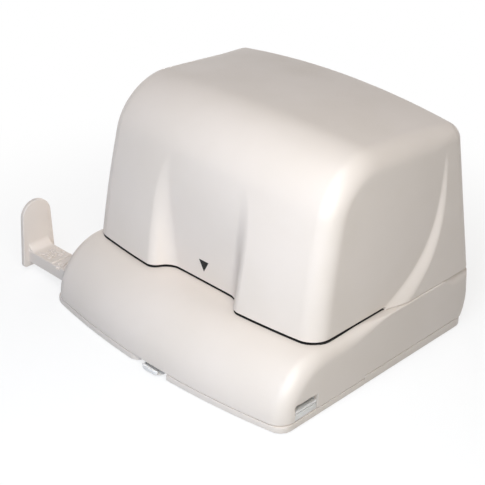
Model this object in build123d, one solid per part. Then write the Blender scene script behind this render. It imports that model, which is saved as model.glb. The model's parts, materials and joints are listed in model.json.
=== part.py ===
from build123d import *
from math import atan2, cos, degrees, hypot, pi, radians, sin, sqrt, tan
import os

# Electric two-hole desk punch. Millimetres, +Z up, +X to the right, -Y towards the user.
# The origin is on the desk, on the mid plane, straight below the edge of the paper stop.

# ---- outer form --------------------------------------------------------------------------
HALF_WIDTH = 76.2            # base, and the proud rear flanks of the hood
INSET_HALF = 72.0            # front part of the hood, set in from the base
WALL = 2.5                   # moulded wall thickness
DECK_Z = 31.1                # top of the base: the face that the paper lies on
SLOT_HEIGHT = 1.2            # paper slot between base and hood
FAR, FAR_UP = 90.0, 140.0    # trims and cuts reach this far, past every part
LOFT_X = 82.0                # the mouldings are lofted a little past their sides
SLOT_END_Y = 2.9             # where the slot ends on the sides and the flanks begin
PLATE_Z = 0.5                # underside of the bottom plates, lifted by the rubber feet
PLATE_THICK = 1.6
BAND_FRONT_Z = 3.7           # height of the bottom band under the front part
BAND_REAR_Z = 5.0            # height of the bottom band under the rear part
BAND_STEP_Y = -13.2          # where the band changes height
FRONT_Y = -74.8              # base front on the mid plane
FRONT_BOW = 7.9              # how far the base front falls back at the sides
REAR_Y = 68.8                # rear face at the desk, on the mid plane
REAR_BOW = 2.0
REAR_LEAN = 0.11             # the rear face leans forward by this much per mm of height
HOOD_FRONT_Y = -49.2         # hood front at the slot, on the mid plane
HOOD_BOW = 5.9
HOOD_LEAN = 0.125            # the hood front leans back, and more so higher up
HOOD_LEAN_GROWTH = 0.001
HOOD_TOP_Z = 113.0           # top at the front, on the mid plane
TOP_CROWN = 4.7              # how far the top falls towards the sides
TOP_FALL = 0.055             # and towards the rear
TOP_FALL_SIDE = 0.012
TOP_BEND = 0.0002            # the top also curves down along its length
TOP_START_Y = -11.0          # and both are counted from here
FRONT_TOP_R = 25.0
REAR_TOP_R = 6.8
CORNER_R = 8.8               # front corners and top side edges of the hood
FLANK_R = 6.2                # rear corners and top edges of the flanks
CORE_LEAN = 0.043            # the sides of the hood lean in by this much per mm
FLANK_LEAN = 0.102
NOSE_DEPTH = 28.0            # the base front is a quarter of an ellipse this deep
DECK_EDGE_R = 7.0            # side edges of the base in front of the flanks
TUCK_Z = 17.7                # below this the rear of the base curves in towards the desk
TUCK = 0.0227                # by this much times the square of the distance below TUCK_Z
RECESS_Y = -39.3             # wall of the scoop in the hood front, at the deck
RECESS_LEAN = 0.025          # the wall leans forward by this much per mm of height
RECESS_HALF = 21.3           # half width of the wall at the deck
RECESS_SPREAD = 0.115        # the wall grows wider by this much per mm of height
RECESS_FLANK_SLOPE = 1.74
RECESS_EDGE_R = 3.5
THROAT_INSET = 0.35          # the throat plate ends this far inside the hood's outline
THROAT_THICK = 0.8

# ---- punching unit -----------------------------------------------------------------------
HOLE_SPACING = 69.85         # 2 3/4 in between the two holes
PIN_Y = -12.0                # punch line, 12 mm in front of the paper stop
PIN_R = 3.55                 # 7.1 mm holes
FIT = 0.05                   # radial running clearance
PIN_TRAVEL = 6.0
BAR_TRAVEL = 12.0
CROSS_PIN_R = 2.0
CROSS_PIN_Z = 50.0
BAR_FRONT_Y = -19.2
BAR_THICK = 3.0
BAR_X = (-56, 50)            # ends of the cam bar
CAM_REST = 0.4               # the cam slots run on by this much past each end of the travel
UNIT_HALF = 52.0             # half width of the die plate and guide frame
DIE_Y, DIE_THICK, DIE_GAP = (-28.0, 14.0), 3.0, 0.2
SEAT_RIM, SEAT_Z = 4.0, 25.6
FRAME_Z = DECK_Z + SLOT_HEIGHT
SHEET = 2.0                  # steel sheet of the guide frame
UPPER_FLANGE_Z = 64.0
WEB_Y = 10.0                 # front face of the guide frame's upright web

# ---- drive -------------------------------------------------------------------------------
PRESSURE_ANGLE = radians(20)
RACK_MODULE, RACK_PINION_TEETH = 1.0, 14
OUTPUT_MODULE, OUTPUT_TEETH, IDLER_PINION_TEETH = 0.8, 44, 12
MOTOR_MODULE, IDLER_TEETH, MOTOR_PINION_TEETH = 0.6, 40, 12
RACK_Z = 56.0                # pitch line of the rack
RACK_X = (-23, 23)           # the bar is lower between these, where the rack is
RACK_ROOT_Z = RACK_Z - 1.2 * RACK_MODULE
OUTPUT_XZ = (0.0, RACK_Z + RACK_MODULE * RACK_PINION_TEETH / 2)
IDLER_DISTANCE = OUTPUT_MODULE * (OUTPUT_TEETH + IDLER_PINION_TEETH) / 2
MOTOR_DISTANCE = MOTOR_MODULE * (IDLER_TEETH + MOTOR_PINION_TEETH) / 2
IDLER_ANGLE = radians(-23.8)
MOTOR_ANGLE = radians(-26.2)
IDLER_XZ = (OUTPUT_XZ[0] + IDLER_DISTANCE * cos(IDLER_ANGLE),
            OUTPUT_XZ[1] + IDLER_DISTANCE * sin(IDLER_ANGLE))
MOTOR_XZ = (IDLER_XZ[0] + MOTOR_DISTANCE * cos(MOTOR_ANGLE),
            IDLER_XZ[1] + MOTOR_DISTANCE * sin(MOTOR_ANGLE))
OUTPUT_SHAFT_R, IDLER_SHAFT_R, MOTOR_SHAFT_R, BUSH_R = 2.5, 1.5, 1.0, 4.5
OUTPUT_GEAR_Y, IDLER_PINION_Y = (13.5, 17.5), (12.6, 18.5)
IDLER_GEAR_Y, MOTOR_PINION_Y = (18.4, 21.4), (18.0, 21.8)
TIP_HEIGHT, ROOT_DEPTH, TOOTH_PLAY = 0.8, 1.15, 0.08      # in modules
GEARBOX_Y = 23.0             # front face of the rear gearbox plate
GEARBOX_SCREW_R, PILLAR_R = 1.5, 3.0
MOTOR_R, MOTOR_LENGTH = 12.0, 28.0
PILLARS_XZ = [(-24, 60), (-24, 42), (44, 61), (8, 38)]

# ---- paper guide, tray, batteries --------------------------------------------------------
GUIDE_Y = -52.25             # middle of the guide arm
ARM_WIDTH = 13.3
ARM_Z = (5.3, 11.6)
ARM_WALL = 1.7
STOP_X = -107.6              # face of the stop plate that the sheet's edge meets
ARM_END_X = 41.0
SHEET_NOTCH_X = (-84, -68, -52, -36, -20)    # notches in the front edge, one for each sheet size
ARM_RIB_X = (-88.6, -87.4)   # raised rib across the arm
STOP_THICK = 2.2
WINDOW_Y = (-59.4, -45.1)
WINDOW_TOP_Z = 11.9
TRAY_HALF = 57.6
TRAY_FRONT_Y = -65.6
TRAY_HINGE_Y, TRAY_HINGE_Z, TRAY_HINGE_R = -5.0, 2.4, 1.6
TRAY_PIN_R = 0.8
TRAY_GAP = 0.4
TRAY_THICK = 1.4
PAN_HALF, PAN_Y, PAN_TOP_Z, PAN_R, PAN_WALL = 52.0, (-41.0, -7.0), 13.0, 3.0, 1.2
PAN_RIB_X, PAN_RIB_Z = (-30, -10, 10, 30), 4.2
TAB_X, TAB_HALF, NOTCH_HALF = 2.4, 6.2, 9.8
TAB_FRONT_Y = -76.4          # the pull tab reaches a little past the base
TAB_LIP_Y = -74.9            # behind its lip the tab is hollowed for a fingertip
RAIL_END_X = (69.7, 75.9)    # closed end of the guide rail, which shows in the window
RAIL_END_Z = 8.4
CELL_R, CELL_LENGTH, CELL_NUB = 7.1, 50.0, 1.2
CELL_Y = (32.0, 47.0)
CELL_Z = 10.6
BOX_HALF, BOX_Y, BOX_TOP_Z, BOX_WALL = 56.0, (22.5, 56.5), 20.2, 1.5
FEET = [(-67, -42), (67, -42), (-67, 30), (67, 30)]
FOOT_R, FOOT_TOP_Z = 6.0, PLATE_Z + 0.8
STRIP_X, STRIP_Y = (-40, 40), (-1.5, 8.5)
SCREW_POSTS = [(-66, 12), (66, 12), (-65, 50), (65, 50)]
SCREW_R, SCREW_HOLE_R, BOSS_R, BOSS_HEIGHT = 1.5, 1.7, 4.0, 16.0
SCREW_SEAT_Z = 3.0           # the heads of the housing screws sit up to here in the bottom cover
BOARD_POSTS = [(-56, 31), (-56, 51), (-23, 31), (-23, 51)]
FRAME_SCREW_X, FRAME_SCREW_Y, FRAME_SCREW_R = (-46, -16, 16, 46), 6.0, 2.0
JACK_X, JACK_Z = -40.0, 24.4
JACK_PIN_R, JACK_BORE_R, JACK_NECK_R, JACK_HOLE_R = 1.0, 2.75, 3.4, 3.6
LEVER_HALF, SWITCH_HALF = 1.8, 6.4
BOARD_X, BOARD_Y, BOARD_Z = (-59, -20), (28, 54), (34, 35.6)
BOARD_PEG_R = 1.3


# ---- helpers -----------------------------------------------------------------------------
def box(x0, x1, y0, y1, z0, z1):
    size = (x1 - x0, y1 - y0, z1 - z0)
    return Pos((x0 + x1) / 2, (y0 + y1) / 2, (z0 + z1) / 2) * Box(*size)


def wide_block(y0, y1, z0, z1):
    """A block wider than the punch, between two depths and two heights."""
    return box(-FAR, FAR, y0, y1, z0, z1)


def post(x, y, z0, z1, r):
    return Pos(x, y, (z0 + z1) / 2) * Cylinder(r, z1 - z0)


def rod_y(x, z, y0, y1, r):
    return Pos(x, (y0 + y1) / 2, z) * Rot(90, 0, 0) * Cylinder(r, y1 - y0)


def rod_x(y, z, x0, x1, r):
    return Pos((x0 + x1) / 2, y, z) * Rot(0, 90, 0) * Cylinder(r, x1 - x0)


def edges_where(shape, test):
    return [edge for edge in shape.edges() if test(edge.center(), edge)]


def round_corner(sketch, point, radius):
    corner = sketch.vertices().sort_by_distance((point[0], point[1], 0))[0]
    return fillet(corner, radius)


# ---- hood --------------------------------------------------------------------------------
def hood_front_y(x, z, inset):
    rise = z - DECK_Z
    bow = HOOD_BOW * (x / INSET_HALF) ** 2
    return HOOD_FRONT_Y + bow + HOOD_LEAN * rise + HOOD_LEAN_GROWTH * rise ** 2 + inset


def hood_top_z(x, y, inset):
    side = (x / INSET_HALF) ** 2
    back = y - TOP_START_Y
    fall = (TOP_FALL + TOP_FALL_SIDE * side) * back + TOP_BEND * back ** 2
    return HOOD_TOP_Z - TOP_CROWN * side - fall - inset


def rear_y(x, z, inset):
    return REAR_Y - REAR_BOW * (x / INSET_HALF) ** 2 - REAR_LEAN * z - inset


def hood_section(x, inset, low_z):
    top = hood_top_z(x, -29, inset)
    front_top = (hood_front_y(x, top, inset), top)
    top = hood_top_z(x, 57, inset)
    rear_top = (rear_y(x, top, inset), top)
    top_middle = (15, hood_top_z(x, 15, inset))
    middle_z = (low_z + front_top[1]) / 2
    front_low = (hood_front_y(x, low_z, inset), low_z)
    front_middle = (hood_front_y(x, middle_z, inset), middle_z)
    rear_low = (rear_y(x, low_z, inset), low_z)
    outline = Wire([
        ThreePointArc(front_low, front_middle, front_top),
        ThreePointArc(front_top, top_middle, rear_top),
        Line(rear_top, rear_low),
        Line(rear_low, front_low),
    ])
    section = Sketch() + make_face(outline)
    section = round_corner(section, front_top, FRONT_TOP_R - inset)
    section = round_corner(section, rear_top, REAR_TOP_R - inset)
    return (Plane.YZ.offset(x) * section).face()


def hood_loft(inset=0.0, low_z=DECK_Z):
    return loft([hood_section(x, inset, low_z) for x in (-LOFT_X, 0, LOFT_X)])


def side_trim(half, lean, inset=0.0):
    def half_at(z):
        return half - lean * (z - DECK_Z) - inset

    low, high = half_at(0), half_at(FAR_UP)
    corners = [(-low, 0), (low, 0), (high, FAR_UP), (-high, FAR_UP)]
    return extrude(Plane.XZ * Polygon(*corners, align=None), FAR, both=True)


def soften_sides(shape, radius, low_z, rear_limit=FAR):
    side_faces = [face for face in shape.faces() if abs(face.normal_at().X) > 0.9]
    edges = [edge for face in side_faces for edge in face.edges()
             if edge.center().Z > low_z + 0.5 and edge.center().Y < rear_limit]
    return fillet(edges, radius)


def flank_region():
    ridge = Spline((2.0, DECK_Z), (18, 40), (33, 54), (40.4, 74), (42.4, 97),
                   tangents=((1, 0.35), (0, 1)))
    above = (42.4, FAR_UP)
    outline = Wire([
        ridge,
        Line(ridge @ 1, above),
        Line(above, (FAR, FAR_UP)),
        Line((FAR, FAR_UP), (FAR, DECK_Z)),
        Line((FAR, DECK_Z), ridge @ 0),
    ])
    return extrude(Plane.YZ * make_face(outline), FAR, both=True)


def recess_cutter(inset=0.0):
    def outline(z):
        rise = z - DECK_Z
        far_y = -76
        wall_y = RECESS_Y - RECESS_LEAN * rise + inset
        half = RECESS_HALF + RECESS_SPREAD * rise + inset * 0.9
        reach = (wall_y - far_y) / RECESS_FLANK_SLOPE
        corners = [(-half, wall_y), (half, wall_y), (half + reach, far_y), (-half - reach, far_y)]
        return (Plane.XY.offset(z) * Polygon(*corners, align=None)).face()

    return loft([outline(20), outline(100)])


def hood_cavity():
    inner = hood_loft(WALL, 20) & side_trim(INSET_HALF, FLANK_LEAN, WALL)
    inner = soften_sides(inner, REAR_TOP_R - WALL - 0.1, 20)
    return inner - recess_cutter(WALL)


def make_hood():
    block = hood_loft()
    core = block & side_trim(INSET_HALF, CORE_LEAN) & wide_block(-FAR, 50, 0, FAR_UP)
    core = soften_sides(core, CORNER_R, DECK_Z, 49)
    flanks = soften_sides(block & side_trim(HALF_WIDTH, FLANK_LEAN), FLANK_R, DECK_Z)
    flanks &= flank_region()
    ridges = edges_where(flanks, lambda c, e: abs(c.X) > 70 and 10 < c.Y < 60 and c.Z > 45
                         and e.length > 40 and e.bounding_box().min.Y < 10)
    flanks = fillet(ridges, 3.0)
    hood = core + flanks - recess_cutter()
    scoop = edges_where(hood, lambda c, e: 18 < abs(c.X) < 32 and c.Y < -35 and 45 < c.Z < 70
                        and e.length > 40)
    hood = fillet(scoop, RECESS_EDGE_R)
    hood -= hood_cavity()
    hood -= wide_block(-FAR, SLOT_END_Y, DECK_Z - 1, FRAME_Z)
    boss_top = DECK_Z + BOSS_HEIGHT
    for x, y in SCREW_POSTS:
        reach = (1 if x > 0 else -1) * (INSET_HALF - 1)
        boss = post(x, y, DECK_Z, boss_top, BOSS_R)
        boss += box(min(x, reach), max(x, reach), y - 1, y + 1, DECK_Z, boss_top)
        hood += boss
        hood -= post(x, y, DECK_Z - 1, boss_top - 4, SCREW_R)
    return hood


def throat_slab(z0, z1):
    """The plan of the hood in front of the flanks, a little inset, between two heights."""
    plan = hood_loft(THROAT_INSET, 20) & side_trim(INSET_HALF, CORE_LEAN, THROAT_INSET)
    plan = plan & wide_block(-FAR, SLOT_END_Y, 25, 35) - recess_cutter(THROAT_INSET)
    fronts = edges_where(plan, lambda c, e: abs(c.X) > 68 and c.Y < -35 and 28 < c.Z < 32)
    plan = fillet(fronts, CORNER_R - THROAT_INSET)
    return plan & wide_block(-FAR, FAR, z0, z1)


def die_room(y1, z0, z1):
    """The room that the die plate takes up, with a little play round it."""
    side = UNIT_HALF + DIE_GAP
    return box(-side, side, DIE_Y[0] - DIE_GAP, y1, z0, z1)


def make_throat_plate():
    plate = throat_slab(DECK_Z - THROAT_THICK, DECK_Z)
    return plate - die_room(20, 20, 40)


# ---- base --------------------------------------------------------------------------------
def base_front_y(x):
    return FRONT_Y + FRONT_BOW * (x / HALF_WIDTH) ** 2


def tucked_rear_y(x, z, inset):
    return rear_y(x, z, inset) - TUCK * max(0, TUCK_Z - z) ** 2


def base_section(x, inset, low_z):
    front = base_front_y(x)
    nose_height = DECK_Z - BAND_FRONT_Z
    centre = (front + NOSE_DEPTH, BAND_FRONT_Z)
    nose = EllipticalCenterArc(centre, NOSE_DEPTH - inset, nose_height - inset, 90, arc_size=90)
    front_low = (front + inset, low_z)
    rear_top = (rear_y(x, DECK_Z, inset), DECK_Z - inset)
    rear_middle = (rear_y(x, TUCK_Z, inset), TUCK_Z)
    rear_low = (tucked_rear_y(x, low_z, inset), low_z)
    tuck_z = (low_z + TUCK_Z) / 2
    lines = [nose, Line((centre[0], DECK_Z - inset), rear_top), Line(rear_top, rear_middle),
             ThreePointArc(rear_middle, (tucked_rear_y(x, tuck_z, inset), tuck_z), rear_low)]
    if low_z < BAND_FRONT_Z:
        nose_low = (front + inset, BAND_FRONT_Z)
        lines += [Line(rear_low, front_low), Line(front_low, nose_low)]
    else:
        lines += [Line(rear_low, front_low)]
    return (Plane.YZ.offset(x) * (Sketch() + make_face(Wire(lines)))).face()


def base_loft(inset=0.0, low_z=BAND_FRONT_Z):
    return loft([base_section(x, inset, low_z) for x in (-LOFT_X, -LOFT_X / 2, 0, LOFT_X / 2, LOFT_X)])


def plan_outline(inset):
    side = HALF_WIDTH - inset
    front_left = (-side, base_front_y(side) + inset)
    front_right = (side, base_front_y(side) + inset)
    rear_right = (side, tucked_rear_y(side, PLATE_Z + 2, inset))
    rear_left = (-side, tucked_rear_y(side, PLATE_Z + 2, inset))
    outline = Wire([
        ThreePointArc(front_left, (0, FRONT_Y + inset), front_right),
        Line(front_right, rear_right),
        ThreePointArc(rear_right, (0, tucked_rear_y(0, PLATE_Z + 2, inset)), rear_left),
        Line(rear_left, front_left),
    ])
    sketch = Sketch() + make_face(outline)
    for corner in (front_left, front_right):
        sketch = round_corner(sketch, corner, 5 - inset)
    for corner in (rear_left, rear_right):
        sketch = round_corner(sketch, corner, FLANK_R - inset)
    return sketch


def make_base():
    block = base_loft() & box(-HALF_WIDTH, HALF_WIDTH, -90, 90, 0, 40)
    front = block & wide_block(-FAR, SLOT_END_Y, 0, 40)
    rear = block & wide_block(SLOT_END_Y, FAR, 0, 40)
    nose_edges = [e for f in front.faces() if abs(f.normal_at().X) > 0.9 for e in f.edges()
                  if e.center().Z > BAND_FRONT_Z + 1 and e.center().Y < SLOT_END_Y - 1]
    front = fillet(nose_edges, DECK_EDGE_R)
    corners = edges_where(rear, lambda c, e: abs(c.X) > 76 and c.Y > 60 and 10 < c.Z < 25)
    rear = fillet(corners, FLANK_R)
    base = front + rear
    inner = base_loft(WALL, 0) & box(-HALF_WIDTH + WALL, HALF_WIDTH - WALL, -90, 90, 0, 40)
    base -= inner
    base -= wide_block(BAND_STEP_Y, FAR, 0, BAND_REAR_Z)
    # seat of the die plate: a rim round an opening in the deck
    seat = box(-UNIT_HALF - SEAT_RIM, UNIT_HALF + SEAT_RIM, DIE_Y[0] - SEAT_RIM,
               DIE_Y[1] + SEAT_RIM, SEAT_Z, DECK_Z)
    base += seat & base_loft()
    base -= throat_slab(DECK_Z - THROAT_THICK, DECK_Z + 1)
    base -= die_room(DIE_Y[1] + DIE_GAP, DECK_Z - DIE_THICK, DECK_Z + 1)
    base -= box(-UNIT_HALF + SEAT_RIM, UNIT_HALF - SEAT_RIM, DIE_Y[0] + SEAT_RIM, -2, 20, DECK_Z)
    for x in (FRAME_SCREW_X[0], FRAME_SCREW_X[-1]):
        base += post(x, FRAME_SCREW_Y, 18, DECK_Z - DIE_THICK, 3.5)
    for x, y in SCREW_POSTS:
        base += post(x, y, BAND_REAR_Z, DECK_Z - 1, BOSS_R)
        base -= post(x, y, 0, DECK_Z + 1, SCREW_HOLE_R)
    # the paper guide passes through both side walls
    base -= wide_block(*WINDOW_Y, 0, WINDOW_TOP_Z)
    # cable way through the deck, and the hole for the supply plug
    base -= post(-42, 30, 20, 40, 2)
    base -= rod_y(JACK_X, JACK_Z, 50, 80, JACK_HOLE_R)
    for x in FRAME_SCREW_X:
        base -= post(x, FRAME_SCREW_Y, 10, 40, FRAME_SCREW_R)
    return base


# ---- bottom parts ------------------------------------------------------------------------
def bottom_plate(y0, y1, height):
    """A shallow pan with a raised rim, cut from the plan outline of the base."""
    span = wide_block(y0, y1, -1, height + 1)
    outer = Pos(0, 0, PLATE_Z) * extrude(plan_outline(0.5), height - PLATE_Z)
    inner = Pos(0, 0, PLATE_Z + PLATE_THICK) * extrude(plan_outline(2.3), height)
    return (outer - inner) & span


def make_plinth():
    plinth = bottom_plate(-90, BAND_STEP_Y - 0.15, BAND_FRONT_Z)
    plinth -= box(-TRAY_HALF - TRAY_GAP, TRAY_HALF + TRAY_GAP, TRAY_FRONT_Y - TRAY_GAP, 0, -1, 10)
    notch = (TAB_X - NOTCH_HALF, TAB_X + NOTCH_HALF)
    plinth += box(notch[0] - 2, notch[1] + 2, TRAY_FRONT_Y - 4.4, TRAY_FRONT_Y - TRAY_GAP,
                  PLATE_Z, BAND_FRONT_Z)
    plinth -= box(*notch, TRAY_FRONT_Y - 5, TRAY_FRONT_Y, -1, 3.1)
    plinth -= box(*notch, -90, TRAY_FRONT_Y - 4.4, -1, 10)
    for x, y in FEET:
        plinth -= post(x, y, -1, FOOT_TOP_Z, FOOT_R)
    return plinth


def make_bottom_cover():
    cover = bottom_plate(BAND_STEP_Y + 0.15, 90, BAND_REAR_Z)
    hinge_end = TRAY_HINGE_Y + TRAY_HINGE_R + TRAY_GAP
    cover -= box(-TRAY_HALF - TRAY_GAP, TRAY_HALF + TRAY_GAP, -20, hinge_end, -1, 10)
    for side in (-1, 1):
        lug = side * (TRAY_HALF + TRAY_GAP + 1.5)
        cover += box(lug - 1.5, lug + 1.5, -8, -2, PLATE_Z, BAND_REAR_Z)
        cover -= rod_x(TRAY_HINGE_Y, TRAY_HINGE_Z, lug - 2, lug + 2, TRAY_PIN_R + FIT)
    cover -= box(-BOX_HALF + BOX_WALL, BOX_HALF - BOX_WALL, BOX_Y[0] + BOX_WALL, BOX_Y[1] - BOX_WALL, -1, 10)
    for x, y in SCREW_POSTS:
        cover += post(x, y, PLATE_Z, BAND_REAR_Z, BOSS_R + 0.5)
        cover -= post(x, y, -1, SCREW_SEAT_Z, 3) + post(x, y, 0, 10, SCREW_HOLE_R)
    for x, y in FEET:
        cover -= post(x, y, -1, FOOT_TOP_Z, FOOT_R)
    return cover - box(*STRIP_X, *STRIP_Y, -1, FOOT_TOP_Z)


def make_feet():
    return [post(x, y, 0, FOOT_TOP_Z, FOOT_R) for x, y in FEET]


def make_grip_strip():
    return box(*STRIP_X, *STRIP_Y, 0, FOOT_TOP_Z)


def make_chip_tray():
    low_z = PLATE_Z + 0.3
    floor_z = low_z + TRAY_THICK
    floor = box(-TRAY_HALF, TRAY_HALF, TRAY_FRONT_Y, TRAY_HINGE_Y, low_z, floor_z)
    tab_length = TRAY_FRONT_Y + 2 - TAB_FRONT_Y
    tab = Pos(TAB_X, TAB_FRONT_Y + tab_length / 2, low_z) * RectangleRounded(2 * TAB_HALF,
                                                                            tab_length, 4)
    tab = extrude(tab, 2)
    tab -= box(TAB_X - TAB_HALF + 1, TAB_X + TAB_HALF - 1, TAB_LIP_Y, TRAY_FRONT_Y - 1,
               low_z + 0.7, low_z + 3)
    pan = box(-PAN_HALF, PAN_HALF, *PAN_Y, low_z + 0.6, PAN_TOP_Z)
    pan = fillet(pan.edges().filter_by(Axis.Z), PAN_R)
    inner_half, inner_y = PAN_HALF - PAN_WALL, (PAN_Y[0] + PAN_WALL, PAN_Y[1] - PAN_WALL)
    hollow = box(-inner_half, inner_half, *inner_y, floor_z, PAN_TOP_Z + 7)
    hollow = fillet(hollow.edges().filter_by(Axis.Z), PAN_R - PAN_WALL)
    tray = floor + tab + pan - hollow
    tray += rod_x(TRAY_HINGE_Y, TRAY_HINGE_Z, -TRAY_HALF, TRAY_HALF, TRAY_HINGE_R)
    tray += rod_x(TRAY_HINGE_Y, TRAY_HINGE_Z, -TRAY_HALF - 2.6, TRAY_HALF + 2.6, TRAY_PIN_R)
    for x in PAN_RIB_X:
        tray += box(x - 0.5, x + 0.5, inner_y[0] - 0.1, inner_y[1] + 0.1, floor_z - 0.1, PAN_RIB_Z)
    return tray


def make_battery_box():
    shell = box(-BOX_HALF, BOX_HALF, *BOX_Y, PLATE_Z + PLATE_THICK, BOX_TOP_Z)
    inner_half, inner_y = BOX_HALF - BOX_WALL, (BOX_Y[0] + BOX_WALL, BOX_Y[1] - BOX_WALL)
    shell -= box(-inner_half, inner_half, *inner_y, 0, BOX_TOP_Z - BOX_WALL)
    middle = (CELL_Y[0] + CELL_Y[1]) / 2
    return shell + box(-BOX_HALF, BOX_HALF, middle - 0.3, middle + 0.3, 12, BOX_TOP_Z)


def make_battery_door():
    rim = BOX_WALL + 0.4
    door = box(-BOX_HALF + rim, BOX_HALF - rim, BOX_Y[0] + rim, BOX_Y[1] - rim,
               PLATE_Z + 0.1, PLATE_Z + PLATE_THICK)
    for y in range(28, 36, 2):
        door -= box(-8, 8, y, y + 0.8, 0, PLATE_Z + 0.5)
    return door


def make_cells():
    cells = []
    for row, y in enumerate(CELL_Y):
        for side in (-1, 1):
            middle = side * (CELL_LENGTH / 2 + 0.6)
            point = 1 if row == 0 else -1
            nub_end = middle + point * CELL_LENGTH / 2
            can_ends = sorted([middle - point * CELL_LENGTH / 2, nub_end - point * CELL_NUB])
            cell = rod_x(y, CELL_Z, *can_ends, CELL_R)
            cell += rod_x(y, CELL_Z, *sorted([middle, nub_end]), 2.7)
            cells.append(cell)
    return cells


def make_contacts():
    plates = []
    for x in (-1, 1):
        for y in CELL_Y:
            wall = x * (BOX_HALF - BOX_WALL)
            plates.append(box(min(wall, wall - x * 0.4), max(wall, wall - x * 0.4),
                              y - 5, y + 5, 5, 16))
    return plates


# ---- paper guide -------------------------------------------------------------------------
def make_guide_rail():
    y0, y1 = WINDOW_Y
    wall = 1.2
    span = (-HALF_WIDTH + WALL + 0.1, HALF_WIDTH - WALL - 0.1)
    rail = box(*span, y0 - wall, y1 + wall, 3.9, 5.0)
    rail += box(*span, y0 - wall, y0, 3.9, 8.2)
    rail += box(*span, y1, y1 + wall, 3.9, 9.7)
    return rail + box(*RAIL_END_X, y0 + 0.2, y1 - 0.2, 3.9, RAIL_END_Z)


def make_paper_guide():
    y0, y1 = GUIDE_Y - ARM_WIDTH / 2, GUIDE_Y + ARM_WIDTH / 2
    z0, z1 = ARM_Z
    arm = box(STOP_X - 1, ARM_END_X, y0, y1, z0, z1)
    arm -= box(STOP_X, ARM_END_X + 1, y0 + ARM_WALL, y1 - ARM_WALL, z0 - 1, z1 - ARM_WALL)
    for x in SHEET_NOTCH_X:
        arm -= Pos(x, y0, z1) * Rot(0, 0, 45) * Box(2.4, 2.4, 2.4)
    arm += box(*ARM_RIB_X, y0 + 0.8, y1 - 0.8, z1 - 0.1, z1 + 0.5)
    plate = stop_plate()
    blend = fillet_wedge(y0, y1, z1)
    return arm + plate + blend


def stop_plate():
    low_half, top_r, top_z, low_z = 10.0, 8.7, 29.3, 2.4
    left_low, right_low = (GUIDE_Y - low_half, low_z), (GUIDE_Y + low_half, low_z)
    left_top, right_top = (GUIDE_Y - top_r, top_z), (GUIDE_Y + top_r, top_z)
    outline = Wire([
        Line(left_low, right_low),
        Line(right_low, right_top),
        ThreePointArc(right_top, (GUIDE_Y, top_z + top_r), left_top),
        Line(left_top, left_low),
    ])
    sketch = Sketch() + make_face(outline)
    sketch = fillet(sketch.vertices().group_by(Axis.Y)[0], 2)
    return extrude(Plane.YZ.offset(STOP_X - STOP_THICK) * sketch, STOP_THICK)


def fillet_wedge(y0, y1, z):
    radius = 5.0
    corner = Plane.XZ * (Pos(STOP_X + radius / 2, z + radius / 2) * Rectangle(radius, radius))
    wedge = extrude(corner, (y1 - y0) / 2, both=True)
    wedge -= rod_y(STOP_X + radius, z + radius, -20, 20, radius)
    return Pos(0, GUIDE_Y, 0) * wedge


# ---- punching unit -----------------------------------------------------------------------
def pin_places():
    return [(-HOLE_SPACING / 2, "left"), (HOLE_SPACING / 2, "right")]


def make_die_plate():
    plate = box(-UNIT_HALF, UNIT_HALF, *DIE_Y, DECK_Z - DIE_THICK, DECK_Z)
    for x, _ in pin_places():
        plate -= post(x, PIN_Y, 20, 40, PIN_R + FIT)
        plate -= Pos(x, PIN_Y, DECK_Z - 0.75 * DIE_THICK) * Cone(PIN_R + 0.8, PIN_R + FIT, 1.5)
    for x in FRAME_SCREW_X:
        plate -= post(x, FRAME_SCREW_Y, 20, 40, FRAME_SCREW_R)
    return plate


def make_paper_stop():
    bar = box(-UNIT_HALF, UNIT_HALF, 0, DIE_Y[1], DECK_Z, FRAME_Z)
    for x in FRAME_SCREW_X:
        bar -= post(x, FRAME_SCREW_Y, 20, 40, FRAME_SCREW_R)
    return bar - box(-LEVER_HALF - 0.4, LEVER_HALF + 0.4, -1, 3.6, 30, 40)


def make_guide_frame():
    lower = box(-UNIT_HALF, UNIT_HALF, -24, WEB_Y + SHEET, FRAME_Z, FRAME_Z + SHEET)
    lip = box(-UNIT_HALF, UNIT_HALF, BAR_FRONT_Y - 0.1 - SHEET, BAR_FRONT_Y - 0.1, FRAME_Z, 39)
    web = box(-UNIT_HALF, UNIT_HALF, WEB_Y, WEB_Y + SHEET, FRAME_Z, UPPER_FLANGE_Z + SHEET)
    web += box(-13, 13, WEB_Y, WEB_Y + SHEET, FRAME_Z, 71)
    frame = lower + lip + web
    for side in (-1, 1):
        inner, outer = side * 22, side * UNIT_HALF
        frame += box(min(inner, outer), max(inner, outer), -20, WEB_Y + SHEET,
                     UPPER_FLANGE_Z, UPPER_FLANGE_Z + SHEET)
    for x, _ in pin_places():
        frame -= post(x, PIN_Y, 30, 70, PIN_R + FIT)
    for x in FRAME_SCREW_X:
        frame -= post(x, FRAME_SCREW_Y, 30, 40, FRAME_SCREW_R)
    frame -= box(-LEVER_HALF - 0.4, LEVER_HALF + 0.4, -5, 4, 30, 40)
    frame -= rod_y(*OUTPUT_XZ, 0, 30, BUSH_R)
    frame -= rod_y(*IDLER_XZ, 0, 30, IDLER_SHAFT_R)
    for x, z in PILLARS_XZ:
        frame -= rod_y(x, z, 0, 30, GEARBOX_SCREW_R)
    return frame


def make_punch_pin(x):
    low_z, high_z = FRAME_Z + 0.9, 74
    pin = post(x, PIN_Y, low_z, high_z, PIN_R)
    notch = Pos(x, PIN_Y, low_z) * Rot(0, 45, 0) * Box(3.2, 20, 3.2)
    pin -= notch
    return pin - rod_y(x, CROSS_PIN_Z, -30, 10, CROSS_PIN_R)


def make_cross_pin(x):
    return rod_y(x, CROSS_PIN_Z, BAR_FRONT_Y - 0.8, PIN_Y + PIN_R + 0.6, CROSS_PIN_R)


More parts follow.
